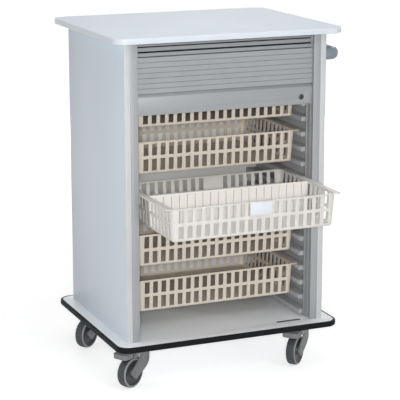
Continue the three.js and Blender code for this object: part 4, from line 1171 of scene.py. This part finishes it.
for stop_x, stop_y, heading in stops:
    ring = []
    for side in range(HANDLE_SIDES):
        turn = 2 * math.pi * side / HANDLE_SIDES
        across = math.cos(turn) * HANDLE_DEEP / 2
        ring_x = stop_x + across * math.cos(heading)
        ring_y = stop_y + across * math.sin(heading)
        ring.append(bow_shape.verts.new((ring_x, ring_y, grip_z + math.sin(turn) * HANDLE_TALL / 2)))
    bow_rings.append(ring)
for one, two in zip(bow_rings, bow_rings[1:]):
    lace(bow_shape, one, two)
bow_shape.faces.new(bow_rings[0])
bow_shape.faces.new(bow_rings[-1])
bmesh.ops.recalc_face_normals(bow_shape, faces=bow_shape.faces)
bow = settle(show("push_handle_bow", bow_shape, grip_plastic))
stands_for(bow, "handle", "push_handle_bar")
for node in ("handle_foot_front", "handle_foot_rear"):
    softened(node, "handle", HANDLE_FOOT_EDGE, grip_plastic)


# Floor, light and camera
# A white floor that keeps the cart's shadow, a white surround, and soft light from above, the front
# right, the left, the back and the camera, which stands front left, a little above the cart's top.
FLOOR_SIZE = 60.0
FLOOR_GREY = 0.80
FLOOR_LIFT_NEAR = 0.56
FLOOR_LIFT_FAR = 0.86
FLOOR_NEAR = 0.9
FLOOR_FAR = 3.6
SURROUND_LIGHT = 0.21
CAMERA_PLACE = (-2.01843, -4.64848, 1.75645)
CAMERA_YAW = 23.1378
CAMERA_PITCH = 13.3676
CAMERA_LENS = 141.241
CAMERA_SENSOR = 36.0
CAMERA_REACH = 100.0
LAMP_AIM = (0.0, 0.0, 0.6)


def seen_directly(tree):
    """One where the ray comes from the camera, a mirror-like surface or glass, and zero elsewhere."""
    path = add_node(tree, "ShaderNodeLightPath")
    value = path["Is Camera Ray"]
    for other in ("Is Glossy Ray", "Is Transmission Ray"):
        value = add_node(tree, "ShaderNodeMath", {0: value, 1: path[other]}, operation="MAXIMUM")[0]
    return value


def white_floor():
    """Matt white; rays that see it directly get a little of its own light, more of it further out,
    so that it meets the surround."""
    constants = {
        "Base Color": (FLOOR_GREY, FLOOR_GREY, FLOOR_GREY, 1.0),
        "Roughness": 0.9,
        "Specular IOR Level": 0.0,
        "Emission Color": (1.0, 1.0, 1.0, 1.0),
    }
    material, tree, shader, place = start_finish("white_floor", constants)
    away = add_node(tree, "ShaderNodeVectorMath", {0: place}, operation="LENGTH")
    further = {
        "Value": away["Value"],
        "From Min": FLOOR_NEAR,
        "From Max": FLOOR_FAR,
        "To Min": FLOOR_LIFT_NEAR,
        "To Max": FLOOR_LIFT_FAR,
    }
    glow = {0: seen_directly(tree), 1: add_node(tree, "ShaderNodeMapRange", further)["Result"]}
    lift = add_node(tree, "ShaderNodeMath", glow, operation="MULTIPLY")
    tree.links.new(lift[0], shader.inputs["Emission Strength"])
    return material


floor_shape = bmesh.new()
bmesh.ops.create_grid(floor_shape, x_segments=1, y_segments=1, size=FLOOR_SIZE / 2)
floor = show("floor", floor_shape, white_floor())

world = bpy.data.worlds.new("white_surround")
bpy.context.scene.world = world
world.use_nodes = True
surround = world.node_tree.nodes["Background"]
surround.inputs["Color"].default_value = (1.0, 1.0, 1.0, 1.0)
level = {"Value": seen_directly(world.node_tree), "To Min": SURROUND_LIGHT, "To Max": 1.0}
strength = add_node(world.node_tree, "ShaderNodeMapRange", level)["Result"]
world.node_tree.links.new(strength, surround.inputs["Strength"])

for name, place, size, power in (
    ("top_lamp", (-0.2, -0.6, 3.8), 2.6, 29.0),
    ("camera_lamp", (-2.1, -4.95, 1.80), 0.6, 156.0),
    ("high_front_lamp", (1.5, -3.7, 3.6), 1.4, 34.0),
    ("left_lamp", (-4.2, 0.7, 1.3), 1.8, 18.0),
    ("back_lamp", (1.8, 4.2, 0.9), 2.4, 40.0),
):
    lamp = bpy.data.lights.new(name, "AREA")
    lamp.shape = "DISK"
    lamp.size = size
    lamp.energy = power
    lamp_object = bpy.data.objects.new(name, lamp)
    aim = Vector(LAMP_AIM) - Vector(place)
    turn = aim.to_track_quat("-Z", "Y").to_matrix().to_4x4()
    lamp_object.matrix_world = Matrix.Translation(place) @ turn
    lamp_object.visible_camera = False
    bpy.context.scene.collection.objects.link(lamp_object)

camera = bpy.data.cameras.new("photo_camera")
camera.lens = CAMERA_LENS
camera.sensor_width = CAMERA_SENSOR
camera.clip_end = CAMERA_REACH
camera_object = bpy.data.objects.new("photo_camera", camera)
camera_object.location = CAMERA_PLACE
camera_object.rotation_euler = (math.radians(90.0 - CAMERA_PITCH), 0.0, math.radians(-CAMERA_YAW))
bpy.context.scene.collection.objects.link(camera_object)
bpy.context.scene.camera = camera_object
bpy.context.scene.view_settings.view_transform = "Standard"
